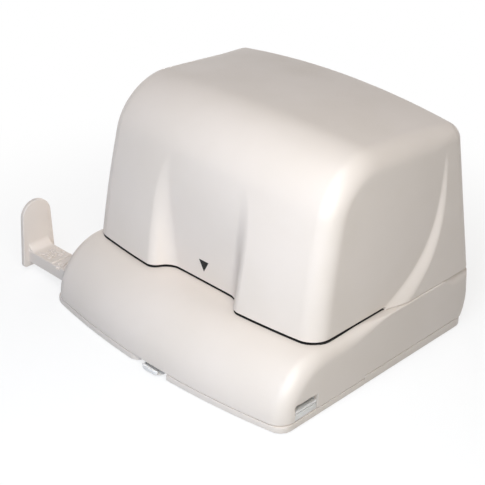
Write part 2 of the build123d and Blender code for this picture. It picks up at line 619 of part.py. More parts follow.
def cam_slot(x):
    """The sloping slot that drives one cross pin down as the bar moves to the right."""
    half = CROSS_PIN_R + FIT
    right = (x + CAM_REST, CROSS_PIN_Z + CAM_REST / 2)
    left = (x - BAR_TRAVEL - CAM_REST, CROSS_PIN_Z - PIN_TRAVEL - CAM_REST / 2)
    run, drop = right[0] - left[0], right[1] - left[1]
    middle = Pos((right[0] + left[0]) / 2, BAR_FRONT_Y + BAR_THICK / 2, (right[1] + left[1]) / 2)
    slot = middle * Rot(0, -degrees(atan2(drop, run)), 0) * Box(hypot(run, drop), BAR_THICK + 2, 2 * half)
    for end in (left, right):
        slot += rod_y(*end, BAR_FRONT_Y - 1, BAR_FRONT_Y + BAR_THICK + 1, half)
    return slot


def rack_tooth(middle):
    pitch, flank = pi * RACK_MODULE, tan(PRESSURE_ANGLE)
    low, high = RACK_ROOT_Z - 0.1, RACK_Z + TIP_HEIGHT * RACK_MODULE
    half_low = pitch / 4 - TOOTH_PLAY + (RACK_Z - low) * flank
    half_high = pitch / 4 - TOOTH_PLAY - (high - RACK_Z) * flank
    outline = Polygon((middle - half_low, low), (middle + half_low, low),
                      (middle + half_high, high), (middle - half_high, high), align=None)
    tooth = extrude(Plane.XZ * outline, BAR_THICK / 2, both=True)
    return Pos(0, BAR_FRONT_Y + BAR_THICK / 2, 0) * tooth


def make_cam_bar():
    y0, y1 = BAR_FRONT_Y, BAR_FRONT_Y + BAR_THICK
    low_z, high_z = FRAME_Z + SHEET + 0.1, UPPER_FLANGE_Z - 0.1
    body = box(*BAR_X, y0, y1, low_z, RACK_ROOT_Z)
    body += box(BAR_X[0], RACK_X[0], y0, y1, 40, high_z) + box(RACK_X[1], BAR_X[1], y0, y1, 40, high_z)
    for x, _ in pin_places():
        body -= cam_slot(x)
    for number in range(-6, 2):
        body += rack_tooth((number + 0.5) * pi * RACK_MODULE)
    return body


# ---- gears -------------------------------------------------------------------------------
def gear_outline(teeth, module, phase):
    """Involute spur gear outline with thinned, slightly short teeth."""
    pitch_r = module * teeth / 2
    base_r = pitch_r * cos(PRESSURE_ANGLE)
    tip_r = pitch_r + TIP_HEIGHT * module
    root_r = pitch_r - ROOT_DEPTH * module

    def roll(r):
        return sqrt(max((r / base_r) ** 2 - 1, 0))

    def involute(r):
        turn = roll(r)
        return turn - atan2(turn, 1)

    half_tooth = pi / (2 * teeth) - TOOTH_PLAY * module / pitch_r
    start_r = max(base_r, root_r)
    radii = [start_r, (start_r + tip_r) / 2, tip_r]
    points = []
    for tooth in range(teeth):
        centre = phase + 2 * pi * tooth / teeth
        half_angles = [half_tooth + involute(pitch_r) - involute(r) for r in radii]
        flank = [(root_r, half_angles[0])] + list(zip(radii, half_angles))
        rising = [(r, centre - half) for r, half in flank]
        falling = [(r, centre + half) for r, half in reversed(flank)]
        points += [(r * cos(a), r * sin(a)) for r, a in rising + falling]
    if start_r == root_r:
        points = [p for n, p in enumerate(points) if n % 8 not in (0, 7)]
    return Polygon(*points, align=None)


def gear(centre, y0, y1, teeth, module, phase):
    """A spur gear with its axis along Y. Phase is counted in the XZ plane from +X to +Z."""
    flat = gear_outline(teeth, module, phase)
    solid = extrude(Plane.XZ * flat, (y1 - y0) / 2, both=True)
    return Pos(centre[0], (y0 + y1) / 2, centre[1]) * solid


def make_rack_pinion():
    pinion = gear(OUTPUT_XZ, BAR_FRONT_Y - 0.5, BAR_FRONT_Y + BAR_THICK + 0.5,
                  RACK_PINION_TEETH, RACK_MODULE, -pi / 2)
    return pinion - rod_y(*OUTPUT_XZ, -40, 40, OUTPUT_SHAFT_R)


def make_output_gear():
    phase = IDLER_ANGLE + pi / OUTPUT_TEETH
    wheel = gear(OUTPUT_XZ, *OUTPUT_GEAR_Y, OUTPUT_TEETH, OUTPUT_MODULE, phase)
    wheel += rod_y(*OUTPUT_XZ, 12.6, 19.5, BUSH_R)
    for step in range(6):
        angle = radians(60 * step + 30)
        wheel -= rod_y(OUTPUT_XZ[0] + 10.5 * cos(angle), OUTPUT_XZ[1] + 10.5 * sin(angle), 10, 20, 3)
    return wheel - rod_y(*OUTPUT_XZ, -40, 40, OUTPUT_SHAFT_R)


def make_output_shaft():
    return rod_y(*OUTPUT_XZ, BAR_FRONT_Y - 1.5, GEARBOX_Y + 3, OUTPUT_SHAFT_R)


def make_idler_gear():
    wheel = gear(IDLER_XZ, *IDLER_GEAR_Y, IDLER_TEETH, MOTOR_MODULE,
                 MOTOR_ANGLE + pi / IDLER_TEETH)
    wheel += gear(IDLER_XZ, *IDLER_PINION_Y, IDLER_PINION_TEETH, OUTPUT_MODULE,
                  IDLER_ANGLE + pi)
    return wheel - rod_y(*IDLER_XZ, -40, 40, IDLER_SHAFT_R + FIT)


def make_motor_pinion():
    pinion = gear(MOTOR_XZ, *MOTOR_PINION_Y, MOTOR_PINION_TEETH, MOTOR_MODULE, MOTOR_ANGLE + pi)
    return pinion - rod_y(*MOTOR_XZ, -40, 40, MOTOR_SHAFT_R)


def make_motor_shaft():
    return rod_y(*MOTOR_XZ, 17.5, GEARBOX_Y + SHEET + 4, MOTOR_SHAFT_R)


def make_idler_shaft():
    return rod_y(*IDLER_XZ, WEB_Y, GEARBOX_Y + SHEET, IDLER_SHAFT_R)


def make_bushes():
    web_bush = rod_y(*OUTPUT_XZ, WEB_Y - 1, WEB_Y + SHEET, BUSH_R)
    plate_bush = rod_y(*OUTPUT_XZ, GEARBOX_Y, GEARBOX_Y + SHEET + 1, BUSH_R)
    return [bush - rod_y(*OUTPUT_XZ, -40, 40, OUTPUT_SHAFT_R + FIT) for bush in (web_bush, plate_bush)]


def make_gearbox_plate():
    spots = [Pos(x, z) * Circle(5) for x, z in PILLARS_XZ] + [Pos(*OUTPUT_XZ) * Circle(8)]
    outline = make_hull([edge for spot in spots for edge in spot.edges()])
    plate = extrude(Plane.XZ.offset(-GEARBOX_Y) * outline, -SHEET)
    plate -= rod_y(*OUTPUT_XZ, 0, 40, BUSH_R)
    plate -= rod_y(*IDLER_XZ, 0, 40, IDLER_SHAFT_R)
    plate -= rod_y(*MOTOR_XZ, 0, 40, 3.0)
    for x, z in PILLARS_XZ:
        plate -= rod_y(x, z, 0, 40, GEARBOX_SCREW_R)
    return plate


def make_pillars():
    return [rod_y(x, z, WEB_Y + SHEET, GEARBOX_Y, PILLAR_R) - rod_y(x, z, 0, 40, GEARBOX_SCREW_R)
            for x, z in PILLARS_XZ]


def make_gearbox_screws():
    screws = []
    for x, z in PILLARS_XZ:
        shank = rod_y(x, z, WEB_Y - 0.5, GEARBOX_Y + SHEET, GEARBOX_SCREW_R)
        screws.append(shank + rod_y(x, z, GEARBOX_Y + SHEET, GEARBOX_Y + SHEET + 1.8, 2.8))
    return screws


def make_motor_can():
    back = GEARBOX_Y + SHEET
    can = rod_y(*MOTOR_XZ, back, back + MOTOR_LENGTH, MOTOR_R)
    can -= rod_y(*MOTOR_XZ, back - 1, back + MOTOR_LENGTH + 1, MOTOR_SHAFT_R + 0.1)
    can += rod_y(*MOTOR_XZ, GEARBOX_Y + 0.2, back, 3.0) - rod_y(*MOTOR_XZ, 0, 60, MOTOR_SHAFT_R + 0.1)
    return can


def make_motor_cap():
    back = GEARBOX_Y + SHEET + MOTOR_LENGTH
    cap = rod_y(*MOTOR_XZ, back, back + 2.2, MOTOR_R - 1)
    for side in (-1, 1):
        cap += Pos(MOTOR_XZ[0] + side * 7, back + 3.4, MOTOR_XZ[1]) * Box(2.4, 2.6, 0.6)
    return cap


# ---- electrics ---------------------------------------------------------------------------
def make_board():
    board = box(*BOARD_X, *BOARD_Y, *BOARD_Z)
    for x, y in BOARD_POSTS:
        board -= post(x, y, 30, 40, BOARD_PEG_R)
    return board


def make_board_parts():
    top = BOARD_Z[1]
    relay = box(-52, -40, 34, 46, top, top + 10.4)
    capacitor = post(-32, 37, top, top + 11.4, 4)
    plug = box(-35, -27, 45, 51, top, top + 5.4)
    chip = box(-50, -40, 47.5, 53, top, top + 1.4)
    return [relay, capacitor, plug, chip]


def make_board_posts():
    low, high = BOARD_Z
    return [post(x, y, DECK_Z, low, 2.5) + post(x, y, low - 0.1, high + 1, BOARD_PEG_R)
            for x, y in BOARD_POSTS]


def make_jack():
    body = box(JACK_X - 4.5, JACK_X + 4.5, 48, 60.6, BOX_TOP_Z + 0.2, 28.2)
    body += rod_y(JACK_X, JACK_Z, 60.5, 63.4, JACK_NECK_R)
    body -= rod_y(JACK_X, JACK_Z, 52, 70, JACK_BORE_R)
    return body + rod_y(JACK_X, JACK_Z, 51.9, 62, JACK_PIN_R)


def make_switch():
    body = box(-SWITCH_HALF, SWITCH_HALF, 2.2, 8.7, 36.6, 43)
    return body + box(-SWITCH_HALF, SWITCH_HALF, 4.2, 8.7, FRAME_Z + SHEET, 36.7)


def make_switch_lever():
    pivot_y, pivot_z = -0.6, 40.0
    lever = rod_x(pivot_y, pivot_z, -LEVER_HALF, LEVER_HALF, 1.3)
    lever += box(-LEVER_HALF, LEVER_HALF, pivot_y - 0.9, pivot_y + 0.3, 31.5, pivot_z)
    return lever


def make_frame_screws():
    screws = []
    for x in FRAME_SCREW_X:
        top = FRAME_Z + SHEET
        low = 20 if abs(x) > 30 else DECK_Z - DIE_THICK
        head = post(x, FRAME_SCREW_Y, top, top + 2.2, 3.6)
        screws.append(post(x, FRAME_SCREW_Y, low, top, FRAME_SCREW_R) + head)
    return screws


def make_housing_screws():
    screws = []
    for x, y in SCREW_POSTS:
        head = post(x, y, 0.8, SCREW_SEAT_Z, 2.8)
        screws.append(head + post(x, y, SCREW_SEAT_Z, DECK_Z + 10, SCREW_R))
    return screws


def make_throat_cover():
    """Underside of the hood in front of the punching unit: the roof of the paper slot."""
    slab = wide_block(-FAR, SLOT_END_Y, FRAME_Z, FRAME_Z + 1.6)
    cover = hood_cavity() & slab
    cover -= box(-UNIT_HALF - 0.3, UNIT_HALF + 0.3, -24.3, 20, 30, 40)
    return cover


# ---- nodes -------------------------------------------------------------------------------
def all_nodes():
    left, right = [x for x, _ in pin_places()]
    return {
        "hood": make_hood(),
        "base_housing": make_base(),
        "throat_cover": make_throat_cover(),
        "throat_plate": make_throat_plate(),
        "front_plinth": make_plinth(),
        "bottom_cover": make_bottom_cover(),
        "anti_slip_feet": make_feet(),
        "anti_slip_strip": make_grip_strip(),
        "chip_tray": make_chip_tray(),
        "battery_box": make_battery_box(),
        "battery_door": make_battery_door(),
        "battery_cells": make_cells(),
        "battery_contacts": make_contacts(),
        "guide_rail": make_guide_rail(),
        "paper_guide": make_paper_guide(),
        "die_plate": make_die_plate(),
        "paper_stop": make_paper_stop(),
        "guide_frame": make_guide_frame(),
        "punch_pin_left": make_punch_pin(left),
        "punch_pin_right": make_punch_pin(right),
        "cross_pin_left": make_cross_pin(left),
        "cross_pin_right": make_cross_pin(right),
        "cam_bar": make_cam_bar(),
        "rack_pinion": make_rack_pinion(),
        "output_gear": make_output_gear(),
        "output_shaft": make_output_shaft(),
        "shaft_bushes": make_bushes(),
        "idler_gear": make_idler_gear(),
        "idler_shaft": make_idler_shaft(),
        "motor_pinion": make_motor_pinion(),
        "motor_shaft": make_motor_shaft(),
        "motor_can": make_motor_can(),
        "motor_cap": make_motor_cap(),
        "gearbox_plate": make_gearbox_plate(),
        "gearbox_pillars": make_pillars(),
        "gearbox_screws": make_gearbox_screws(),
        "frame_screws": make_frame_screws(),
        "housing_screws": make_housing_screws(),
        "control_board": make_board(),
        "board_parts": make_board_parts(),
        "board_posts": make_board_posts(),
        "supply_jack": make_jack(),
        "paper_switch": make_switch(),
        "switch_lever": make_switch_lever(),
    }


def main():
    os.makedirs("parts", exist_ok=True)
    for name, shape in all_nodes().items():
        if isinstance(shape, list):
            shape = Compound(children=[solid for item in shape for solid in item.solids()])
        export_step(shape, f"parts/{name}.step")


main()
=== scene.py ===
import json
import math

import bmesh
import bpy
import numpy as np
from mathutils import Matrix, Vector


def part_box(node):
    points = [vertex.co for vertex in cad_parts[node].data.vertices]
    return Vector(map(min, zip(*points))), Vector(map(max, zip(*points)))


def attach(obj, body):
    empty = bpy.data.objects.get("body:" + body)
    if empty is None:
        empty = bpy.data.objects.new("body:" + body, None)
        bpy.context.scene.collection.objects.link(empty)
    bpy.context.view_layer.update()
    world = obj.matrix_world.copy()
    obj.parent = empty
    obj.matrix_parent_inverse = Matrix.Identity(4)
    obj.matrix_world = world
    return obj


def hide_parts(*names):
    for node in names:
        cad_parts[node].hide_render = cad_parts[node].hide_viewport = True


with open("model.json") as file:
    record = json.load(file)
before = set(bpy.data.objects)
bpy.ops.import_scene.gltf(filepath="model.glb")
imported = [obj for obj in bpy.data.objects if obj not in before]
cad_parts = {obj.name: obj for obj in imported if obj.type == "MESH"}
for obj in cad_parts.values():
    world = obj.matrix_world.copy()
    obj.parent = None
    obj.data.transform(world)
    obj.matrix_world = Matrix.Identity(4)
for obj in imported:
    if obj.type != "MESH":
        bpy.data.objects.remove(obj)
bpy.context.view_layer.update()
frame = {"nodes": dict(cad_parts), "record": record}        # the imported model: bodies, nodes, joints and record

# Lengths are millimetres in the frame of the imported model, and metres only in Blender.
MM = 0.001

# ---- driving sizes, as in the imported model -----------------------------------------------
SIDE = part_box("base_housing")[1].x / MM     # half width of the base and of the rear flanks
DECK_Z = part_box("base_housing")[1].z / MM   # the face that the paper lies on
SLOT_Z = DECK_Z + 1.2                       # lower rim of the hood over the paper slot
SLOT_END_Y = 2.9                            # behind it the hood stands on the base
HOOD_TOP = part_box("hood")[1].z / MM
HOOD_HALF = 72.0                            # half width of the hood in front of the ridges
SCOOP_Y, SCOOP_LEAN = -39.3, 0.025          # wall of the scoop at the deck, and its lean
WALL = 2.5

BAND_STEP_Y = -13.2                         # where the two bottom plates meet
BAND_FRONT_Z, BAND_REAR_Z = 3.7, 5.0        # upper edge of each, seen as a band
BAND_GAP = 0.22                             # shadow line between band and base
PLATE_Z = 0.5                               # lower face of the plates, held up by the feet
SCREW_PLACES = ((-66, 12), (66, 12), (-65, 50), (65, 50))
FOOT_X, FRONT_FOOT_Y, REAR_FOOT_Y = 67, -42, 30
RUBBER_SEAT = 0.85                          # how deep feet and strip are let in
JACK_X, JACK_Z = -40, 24.4

TRAY_HALF, TRAY_FRONT_Y = 57.6, -65.6
HINGE_Y, HINGE_Z = -5, 2.4
TAB_X, TAB_HALF, TAB_FRONT_Y = 2.4, 6.2, -76.4
NOTCH_HALF, NOTCH_TOP = 9.8, 3.1

GUIDE_Y, STOP_X = -52.25, -107.6            # mid line of the arm, and the face of its stop
ARM_HALF, ARM_LOW, ARM_TOP, ARM_END_X = 6.65, 5.3, 11.6, 41.0
WINDOW_Y0, WINDOW_Y1, WINDOW_TOP = -59.4, -45.1, 11.9

FAR = 90                                    # clear of the punch, for cutters


def lateral(x, half=HOOD_HALF):
    """Share of the bow that a face has taken: 0 in the middle, 1 at the side."""
    return (x / half) ** 2


# ---- forms as distances: below zero inside the material -----------------------------------
def rounded_max(a, b, radius):
    """The larger of two distances, with the corner between the two faces rounded."""
    outside = np.hypot(np.maximum(a + radius, 0), np.maximum(b + radius, 0))
    return np.minimum(np.maximum(a, b), -radius) + outside


def smooth_step(t):
    t = np.clip(t, 0, 1)
    return t * t * (3 - 2 * t)


def hood_front(x, z):
    """Front face: bowed across, and leaning back more the higher it is."""
    middle, bow, lean, curl = -49.2, 5.9, 0.125, 0.001
    rise = z - DECK_Z
    return middle + bow * lateral(x) + lean * rise + curl * rise ** 2


def hood_top(x, y):
    """Crowned top, which falls to the sides and to the rear."""
    crown, fall, twist, curl, summit_y = 4.7, 0.055, 0.012, 0.0002, -11
    back = y - summit_y
    return HOOD_TOP - crown * lateral(x) - (fall + twist * lateral(x)) * back - curl * back ** 2


def rear_face(x, z):
    middle, bow, lean = 68.8, 2.0, 0.11
    return middle - bow * lateral(x) - lean * z


def base_rear(x, z):
    """Rear face of the base, tucked in near the table."""
    tuck, tuck_z = 0.0227, 17.7
    return rear_face(x, z) - tuck * np.maximum(0, tuck_z - z) ** 2


def ridge_distance(y, z):
    """Distance behind the S-shaped ridge, behind which the rear flank stands proud."""
    top_y, reach, rate = 42.8, 40.8, 16.5
    rise = np.maximum(z, DECK_Z - 2) - DECK_Z
    drop = np.exp(-rise / rate)
    slope = reach / rate * drop
    return (y - top_y + reach * drop) / np.sqrt(1 + slope ** 2)


def hood_half_width(y, z):
    """A core with draft, and behind the ridge the flank, 0.4 mm inside the base's side."""
    seam, core_draft, flank_draft, ahead = 0.4, 0.043, 0.102, 0.25
    rise = z - DECK_Z
    core = HOOD_HALF - core_draft * rise
    step = np.maximum(SIDE - seam - flank_draft * rise - core, 0)
    ramp = 2.2 + 1.25 * step
    return core + step * smooth_step(ridge_distance(y, z) / ramp + ahead)


def scoop_wall(z):
    return SCOOP_Y - SCOOP_LEAN * (z - DECK_Z)


def scoop(x, y, z):
    """The scoop in the front, where the hood is drawn back over the middle of the sheet."""
    low_half, flare, slope, corner = 21.3, 0.115, 1.74, 4.2
    half = low_half + flare * (z - DECK_Z)
    flank = (np.abs(x) - half - (scoop_wall(z) - y) / slope) / math.hypot(1, 1 / slope)
    return rounded_max(y - scoop_wall(z), flank, corner)


def hood_form(x, y, z):
    """The outer skin of the hood: its side edges grow softer to the front."""
    brow, rear_edge, rim = 25.0, 6.8, 3.1
    body = rounded_max(hood_front(x, z) - y, z - hood_top(x, y), brow)
    body = rounded_max(body, y - rear_face(x, z), rear_edge)
    side_edge = 8.8 - 2.6 * smooth_step((y - 30) / 25)
    body = rounded_max(body, np.abs(x) - hood_half_width(y, z), side_edge)
    return rounded_max(body, -scoop(x, y, z), rim)


def base_front(x):
    middle, bow = -74.8, 7.9
    return middle + bow * lateral(x, SIDE)


def base_form(x, y, z):
    """The outer skin of the base: a quarter ellipse in front, side edges that fade to the seam."""
    depth, height = 28.0, DECK_Z - BAND_FRONT_Z
    across = np.maximum(base_front(x) + depth - y, 0) / depth
    up = np.maximum(z - BAND_FRONT_Z, 0) / height
    nose = (np.hypot(across, up) - 1) * height
    body = rounded_max(nose, y - base_rear(x, z), 0.4)
    # rounding of the side edges: 7 mm in front, sharp along the seam, wide at the rear corners
    seam_edge, rear_edge, front_more = 0.7, 6.2, 6.3
    edge = rear_edge + (seam_edge - rear_edge) * smooth_step((50 - y) / 10)
    edge = np.where(y < 30, seam_edge + front_more * smooth_step((4 - y) / 34), edge)
    return rounded_max(body, np.abs(x) - SIDE, edge)


def plan_form(x, y, z):
    """Upright outline of the bottom plates, the same at every height."""
    front_corner, rear_corner = 5.0, 6.2
    front = rounded_max(base_front(x) - y, np.abs(x) - SIDE, front_corner)
    return rounded_max(front, y - base_rear(x, 3.0), rear_corner)


# ---- materials ----------------------------------------------------------------------------
class Net:
    """Adds nodes to a tree and joins them: an input is a number, a colour or another socket."""

    def __init__(self, tree):
        self.tree = tree

    def add(self, kind, settings=None, **inputs):
        node = self.tree.nodes.new("ShaderNode" + kind)
        for name, value in (settings or {}).items():
            setattr(node, name, value)
        for name, value in inputs.items():
            self.feed(node.inputs[name.replace("_", " ")], value)
        return node

    def feed(self, socket, value):
        if isinstance(value, bpy.types.NodeSocket):
            self.tree.links.new(value, socket)
        else:
            socket.default_value = value

    def on_object(self):
        """The place on the object, in metres."""
        return self.add("TexCoord").outputs["Object"]

    def maths(self, operation, *values):
        node = self.add("Math", {"operation": operation})
        for socket, value in zip(node.inputs, values):
            self.feed(socket, value)
        return node.outputs[0]

    def scaled(self, value, factor):
        return self.maths("MULTIPLY", value, factor)

    def vectors(self, operation, first, second):
        node = self.add("VectorMath", {"operation": operation})
        self.feed(node.inputs[0], first)
        self.feed(node.inputs[1], second)
        return node.outputs

    def ramped(self, value, low, high, low_out=0.0, high_out=1.0):
        """A value taken smoothly from one span to another."""
        node = self.add("MapRange", {"interpolation_type": "SMOOTHSTEP"}, Value=value)
        for name, number in (("From Min", low), ("From Max", high), ("To Min", low_out),
                             ("To Max", high_out)):
            node.inputs[name].default_value = number
        return node.outputs[0]

    def blended(self, share, first, second):
        node = self.add("Mix", {"data_type": "RGBA"})
        for name, value in (("Factor_Float", share), ("A_Color", first), ("B_Color", second)):
            socket = next(s for s in node.inputs if s.identifier == name)
            self.feed(socket, value)
        return next(s for s in node.outputs if s.identifier == "Result_Color")

    def mixed(self, share, first, second):
        """A mix of two shader nodes."""
        node = self.add("MixShader", Fac=share)
        self.feed(node.inputs[1], first.outputs[0])
        self.feed(node.inputs[2], second.outputs[0])
        return node

    def effect(self, group, **inputs):
        node = self.tree.nodes.new("ShaderNodeGroup")
        node.node_tree = group
        for name, value in inputs.items():
            self.feed(node.inputs[name], value)
        return node.outputs


def new_effect(name, inputs, outputs):
    """An empty node group with number inputs and outputs, for an effect that materials share."""
    number = "NodeSocketFloat"
    group = bpy.data.node_groups.new(name, "ShaderNodeTree")
    for label, value in inputs.items():
        socket = group.interface.new_socket(name=label, in_out="INPUT", socket_type=number)
        socket.default_value = value
    for label in outputs:
        group.interface.new_socket(name=label, in_out="OUTPUT", socket_type=number)
    given = group.nodes.new("NodeGroupInput").outputs
    return Net(group), given, group.nodes.new("NodeGroupOutput").inputs


def make_mould_grain():
    """Fine spark-eroded grain of a mould, and the slow change of tone of the plastic."""
    net, given, out = new_effect("mould_grain", {"Grain": 2200.0, "Drift": 22.0},
                                 ["Height", "Tone"])
    spot = net.on_object()
    fine = net.add("TexNoise", Vector=spot, Scale=given["Grain"], Detail=2.0, Roughness=0.6)
    slow = net.add("TexNoise", Vector=spot, Scale=given["Drift"], Detail=3.0, Roughness=0.5)
    net.feed(out["Height"], fine.outputs["Fac"])
    net.feed(out["Tone"], net.ramped(slow.outputs["Fac"], 0.3, 0.7))
    return net.tree


def make_worn_edges():
    """Edges rubbed by hands and by other parts, broken up by a noise."""
    net, given, out = new_effect("worn_edges", {"Radius": 0.0006, "Broken": 300.0}, ["Mask"])
    spot = net.on_object()
    rounded = net.add("Bevel", {"samples": 4}, Radius=given["Radius"])
    flat = net.add("NewGeometry")
    across = net.vectors("DOT_PRODUCT", rounded.outputs[0], flat.outputs["Normal"])["Value"]
    edge = net.ramped(net.maths("SUBTRACT", 1.0, across), 0.02, 0.2)
    patches = net.add("TexNoise", Vector=spot, Scale=given["Broken"], Detail=3.0)
    rubbed = net.ramped(patches.outputs["Fac"], 0.35, 0.65)
    net.feed(out["Mask"], net.maths("MULTIPLY", edge, rubbed))
    return net.tree


def make_settled_dust():
    """Dust that lies on faces turned up, thicker in patches."""
    net, given, out = new_effect("settled_dust", {"Patches": 60.0, "Specks": 1500.0}, ["Mask"])
    spot = net.on_object()
    normal = net.add("SeparateXYZ", Vector=net.add("NewGeometry").outputs["Normal"])
    facing = net.ramped(normal.outputs["Z"], 0.35, 0.98)
    patches = net.add("TexNoise", Vector=spot, Scale=given["Patches"], Detail=4.0)
    specks = net.add("TexNoise", Vector=spot, Scale=given["Specks"], Detail=1.0)
    lying = net.maths("MULTIPLY", net.ramped(patches.outputs["Fac"], 0.35, 0.75),
                      net.ramped(specks.outputs["Fac"], 0.35, 0.7))
    net.feed(out["Mask"], net.maths("MULTIPLY", facing, lying))
    return net.tree


def make_tool_lines():
    """Fine parallel lines that rolling, drawing or grinding leaves on metal."""
    net, given, out = new_effect("tool_lines", {"Lines": 900.0, "Along": 30.0}, ["Height", "Tone"])
    spot = net.on_object()
    stretch = net.add("CombineXYZ", X=given["Along"], Y=given["Lines"], Z=given["Lines"])
    stretched = net.vectors("MULTIPLY", spot, stretch.outputs[0])[0]
    lines = net.add("TexNoise", Vector=stretched, Scale=1.0, Detail=3.0, Roughness=0.7)
    net.feed(out["Height"], lines.outputs["Fac"])
    net.feed(out["Tone"], net.ramped(lines.outputs["Fac"], 0.3, 0.7))
    return net.tree


def make_hair_scratches():
    """Thin scratches from handling, in two directions."""
    net, given, out = new_effect("hair_scratches", {"Spread": 55.0}, ["Mask"])
    spot = net.on_object()
    masks = []
    for turn in (0.5, -0.9):
        turned = net.add("VectorRotate", {"rotation_type": "EULER_XYZ"}, Vector=spot,
                         Rotation=(turn, turn * 1.7, turn))
        squeezed = net.vectors("MULTIPLY", turned.outputs[0], (1.0, 14.0, 14.0))[0]
        noise = net.add("TexNoise", Vector=squeezed, Scale=given["Spread"], Detail=1.0)
        off_line = net.maths("ABSOLUTE", net.maths("SUBTRACT", noise.outputs["Fac"], 0.5))
        masks.append(net.ramped(off_line, 0.012, 0.002))
    net.feed(out["Mask"], net.maths("MULTIPLY", net.maths("ADD", *masks), 0.5))
    return net.tree


MOULD_GRAIN, WORN_EDGES, SETTLED_DUST = make_mould_grain(), make_worn_edges(), make_settled_dust()
TOOL_LINES, HAIR_SCRATCHES = make_tool_lines(), make_hair_scratches()


def srgb(red, green, blue):
    """A colour given as it looks on a screen, 0 to 255."""
    parts = [c / 255 for c in (red, green, blue)]
    linear = [c / 12.92 if c <= 0.04045 else ((c + 0.055) / 1.055) ** 2.4 for c in parts]
    return (*linear, 1.0)


def new_material(name, **constants):
    """A material with a Principled shader whose constants are set on its own sockets."""
    material = bpy.data.materials.new(name)
    material.use_nodes = True
    shader = material.node_tree.nodes["Principled BSDF"]
    for label, value in constants.items():
        shader.inputs[label.replace("_", " ")].default_value = value
    return material, Net(material.node_tree), shader


def bumped(net, shader, height, strength, distance):
    """Fine relief; distance is how far it rises, in millimetres."""
    bump = net.add("Bump", Height=height, Strength=strength, Distance=distance * MM)
    net.feed(shader.inputs["Normal"], bump.outputs[0])


DUST_COLOUR, RUBBED_METAL = (0.62, 0.59, 0.55, 1), (0.82, 0.82, 0.82, 1)


def moulded(name, colour, shade_colour, worn_colour, roughness, grain=2200.0, depth=0.02,
            dust_share=0.1, **constants):
    """Moulded plastic or rubber: grain, slow change of tone, rubbed edges, scratches and dust."""
    material, net, shader = new_material(name, **constants)
    surface = net.effect(MOULD_GRAIN, Grain=grain)
    edges = net.effect(WORN_EDGES)["Mask"]
    dust = net.effect(SETTLED_DUST)["Mask"]
    scratches = net.effect(HAIR_SCRATCHES)["Mask"]
    body = net.blended(surface["Tone"], colour, shade_colour)
    body = net.blended(net.scaled(edges, 0.5), body, worn_colour)
    body = net.blended(net.scaled(dust, dust_share), body, DUST_COLOUR)
    net.feed(shader.inputs["Base Color"], body)
    rough = net.maths("ADD", net.scaled(surface["Tone"], 0.05), roughness - 0.02)
    rough = net.maths("SUBTRACT", rough, net.scaled(edges, 0.06))
    rough = net.maths("ADD", rough, net.scaled(scratches, 0.06))
    rough = net.maths("ADD", rough, net.scaled(dust, 0.2))
    net.feed(shader.inputs["Roughness"], rough)
    bumped(net, shader, surface["Height"], 0.35, depth)
    return material


def worked_metal(name, colour, dull_colour, roughness, lines=900.0, along=30.0, **constants):
    """Metal with tool lines, bright rubbed edges and duller patches."""
    material, net, shader = new_material(name, Metallic=1.0, **constants)
    finish = net.effect(TOOL_LINES, Lines=lines, Along=along)
    patches = net.effect(MOULD_GRAIN, Drift=60.0)["Tone"]
    edges = net.effect(WORN_EDGES, Radius=0.0003)["Mask"]
    body = net.blended(patches, colour, dull_colour)
    body = net.blended(net.scaled(edges, 0.6), body, RUBBED_METAL)
    net.feed(shader.inputs["Base Color"], body)
    rough = net.maths("ADD", net.scaled(finish["Tone"], 0.12), roughness)
    rough = net.maths("SUBTRACT", rough, net.scaled(edges, 0.1))
    net.feed(shader.inputs["Roughness"], rough)
    bumped(net, shader, finish["Height"], 0.25, 0.01)
    return material


def make_zinc():
    """Zinc plating: soft spangles with a faint yellow cast."""
    material, net, shader = new_material("zinc_plating", Metallic=1.0)
    spot = net.on_object()
    spangles = net.add("TexVoronoi", Vector=spot, Scale=700.0)
    tone = net.ramped(spangles.outputs["Distance"], 0.1, 0.8)
    edges = net.effect(WORN_EDGES, Radius=0.0003)["Mask"]
    body = net.blended(tone, srgb(196, 198, 196), srgb(170, 172, 166))
    body = net.blended(net.scaled(edges, 0.5), body, srgb(225, 226, 226))
    net.feed(shader.inputs["Base Color"], body)
    net.feed(shader.inputs["Roughness"], net.maths("ADD", net.scaled(tone, 0.15), 0.3))
    bumped(net, shader, tone, 0.2, 0.01)
    return material


def make_board():
    """Green lacquered board: tracks under the lacquer, and tinned pads."""
    material, net, shader = new_material("green_board", IOR=1.5)
    spot = net.on_object()
    tracks = net.add("TexBrick", {"offset": 0.37, "squash": 1.6, "squash_frequency": 3},
                     Vector=spot, Scale=210.0, Mortar_Size=0.06, Mortar_Smooth=0.1)
    pads = net.add("TexVoronoi", {"feature": "F1"}, Vector=spot, Scale=330.0, Randomness=0.15)
    pad = net.ramped(pads.outputs["Distance"], 0.24, 0.2)
    chosen = net.add("TexNoise", Vector=spot, Scale=120.0)
    pad = net.maths("MULTIPLY", pad, net.ramped(chosen.outputs["Fac"], 0.56, 0.6))
    body = net.blended(tracks.outputs["Fac"], srgb(20, 78, 44), srgb(38, 110, 62))
    body = net.blended(pad, body, srgb(190, 190, 182))
    net.feed(shader.inputs["Base Color"], body)
    net.feed(shader.inputs["Metallic"], net.scaled(pad, 0.9))
    net.feed(shader.inputs["Roughness"], net.maths("ADD", net.scaled(pad, 0.1), 0.3))
    raised = net.maths("ADD", tracks.outputs["Fac"], pad)
    bumped(net, shader, raised, 0.4, 0.03)
    return material


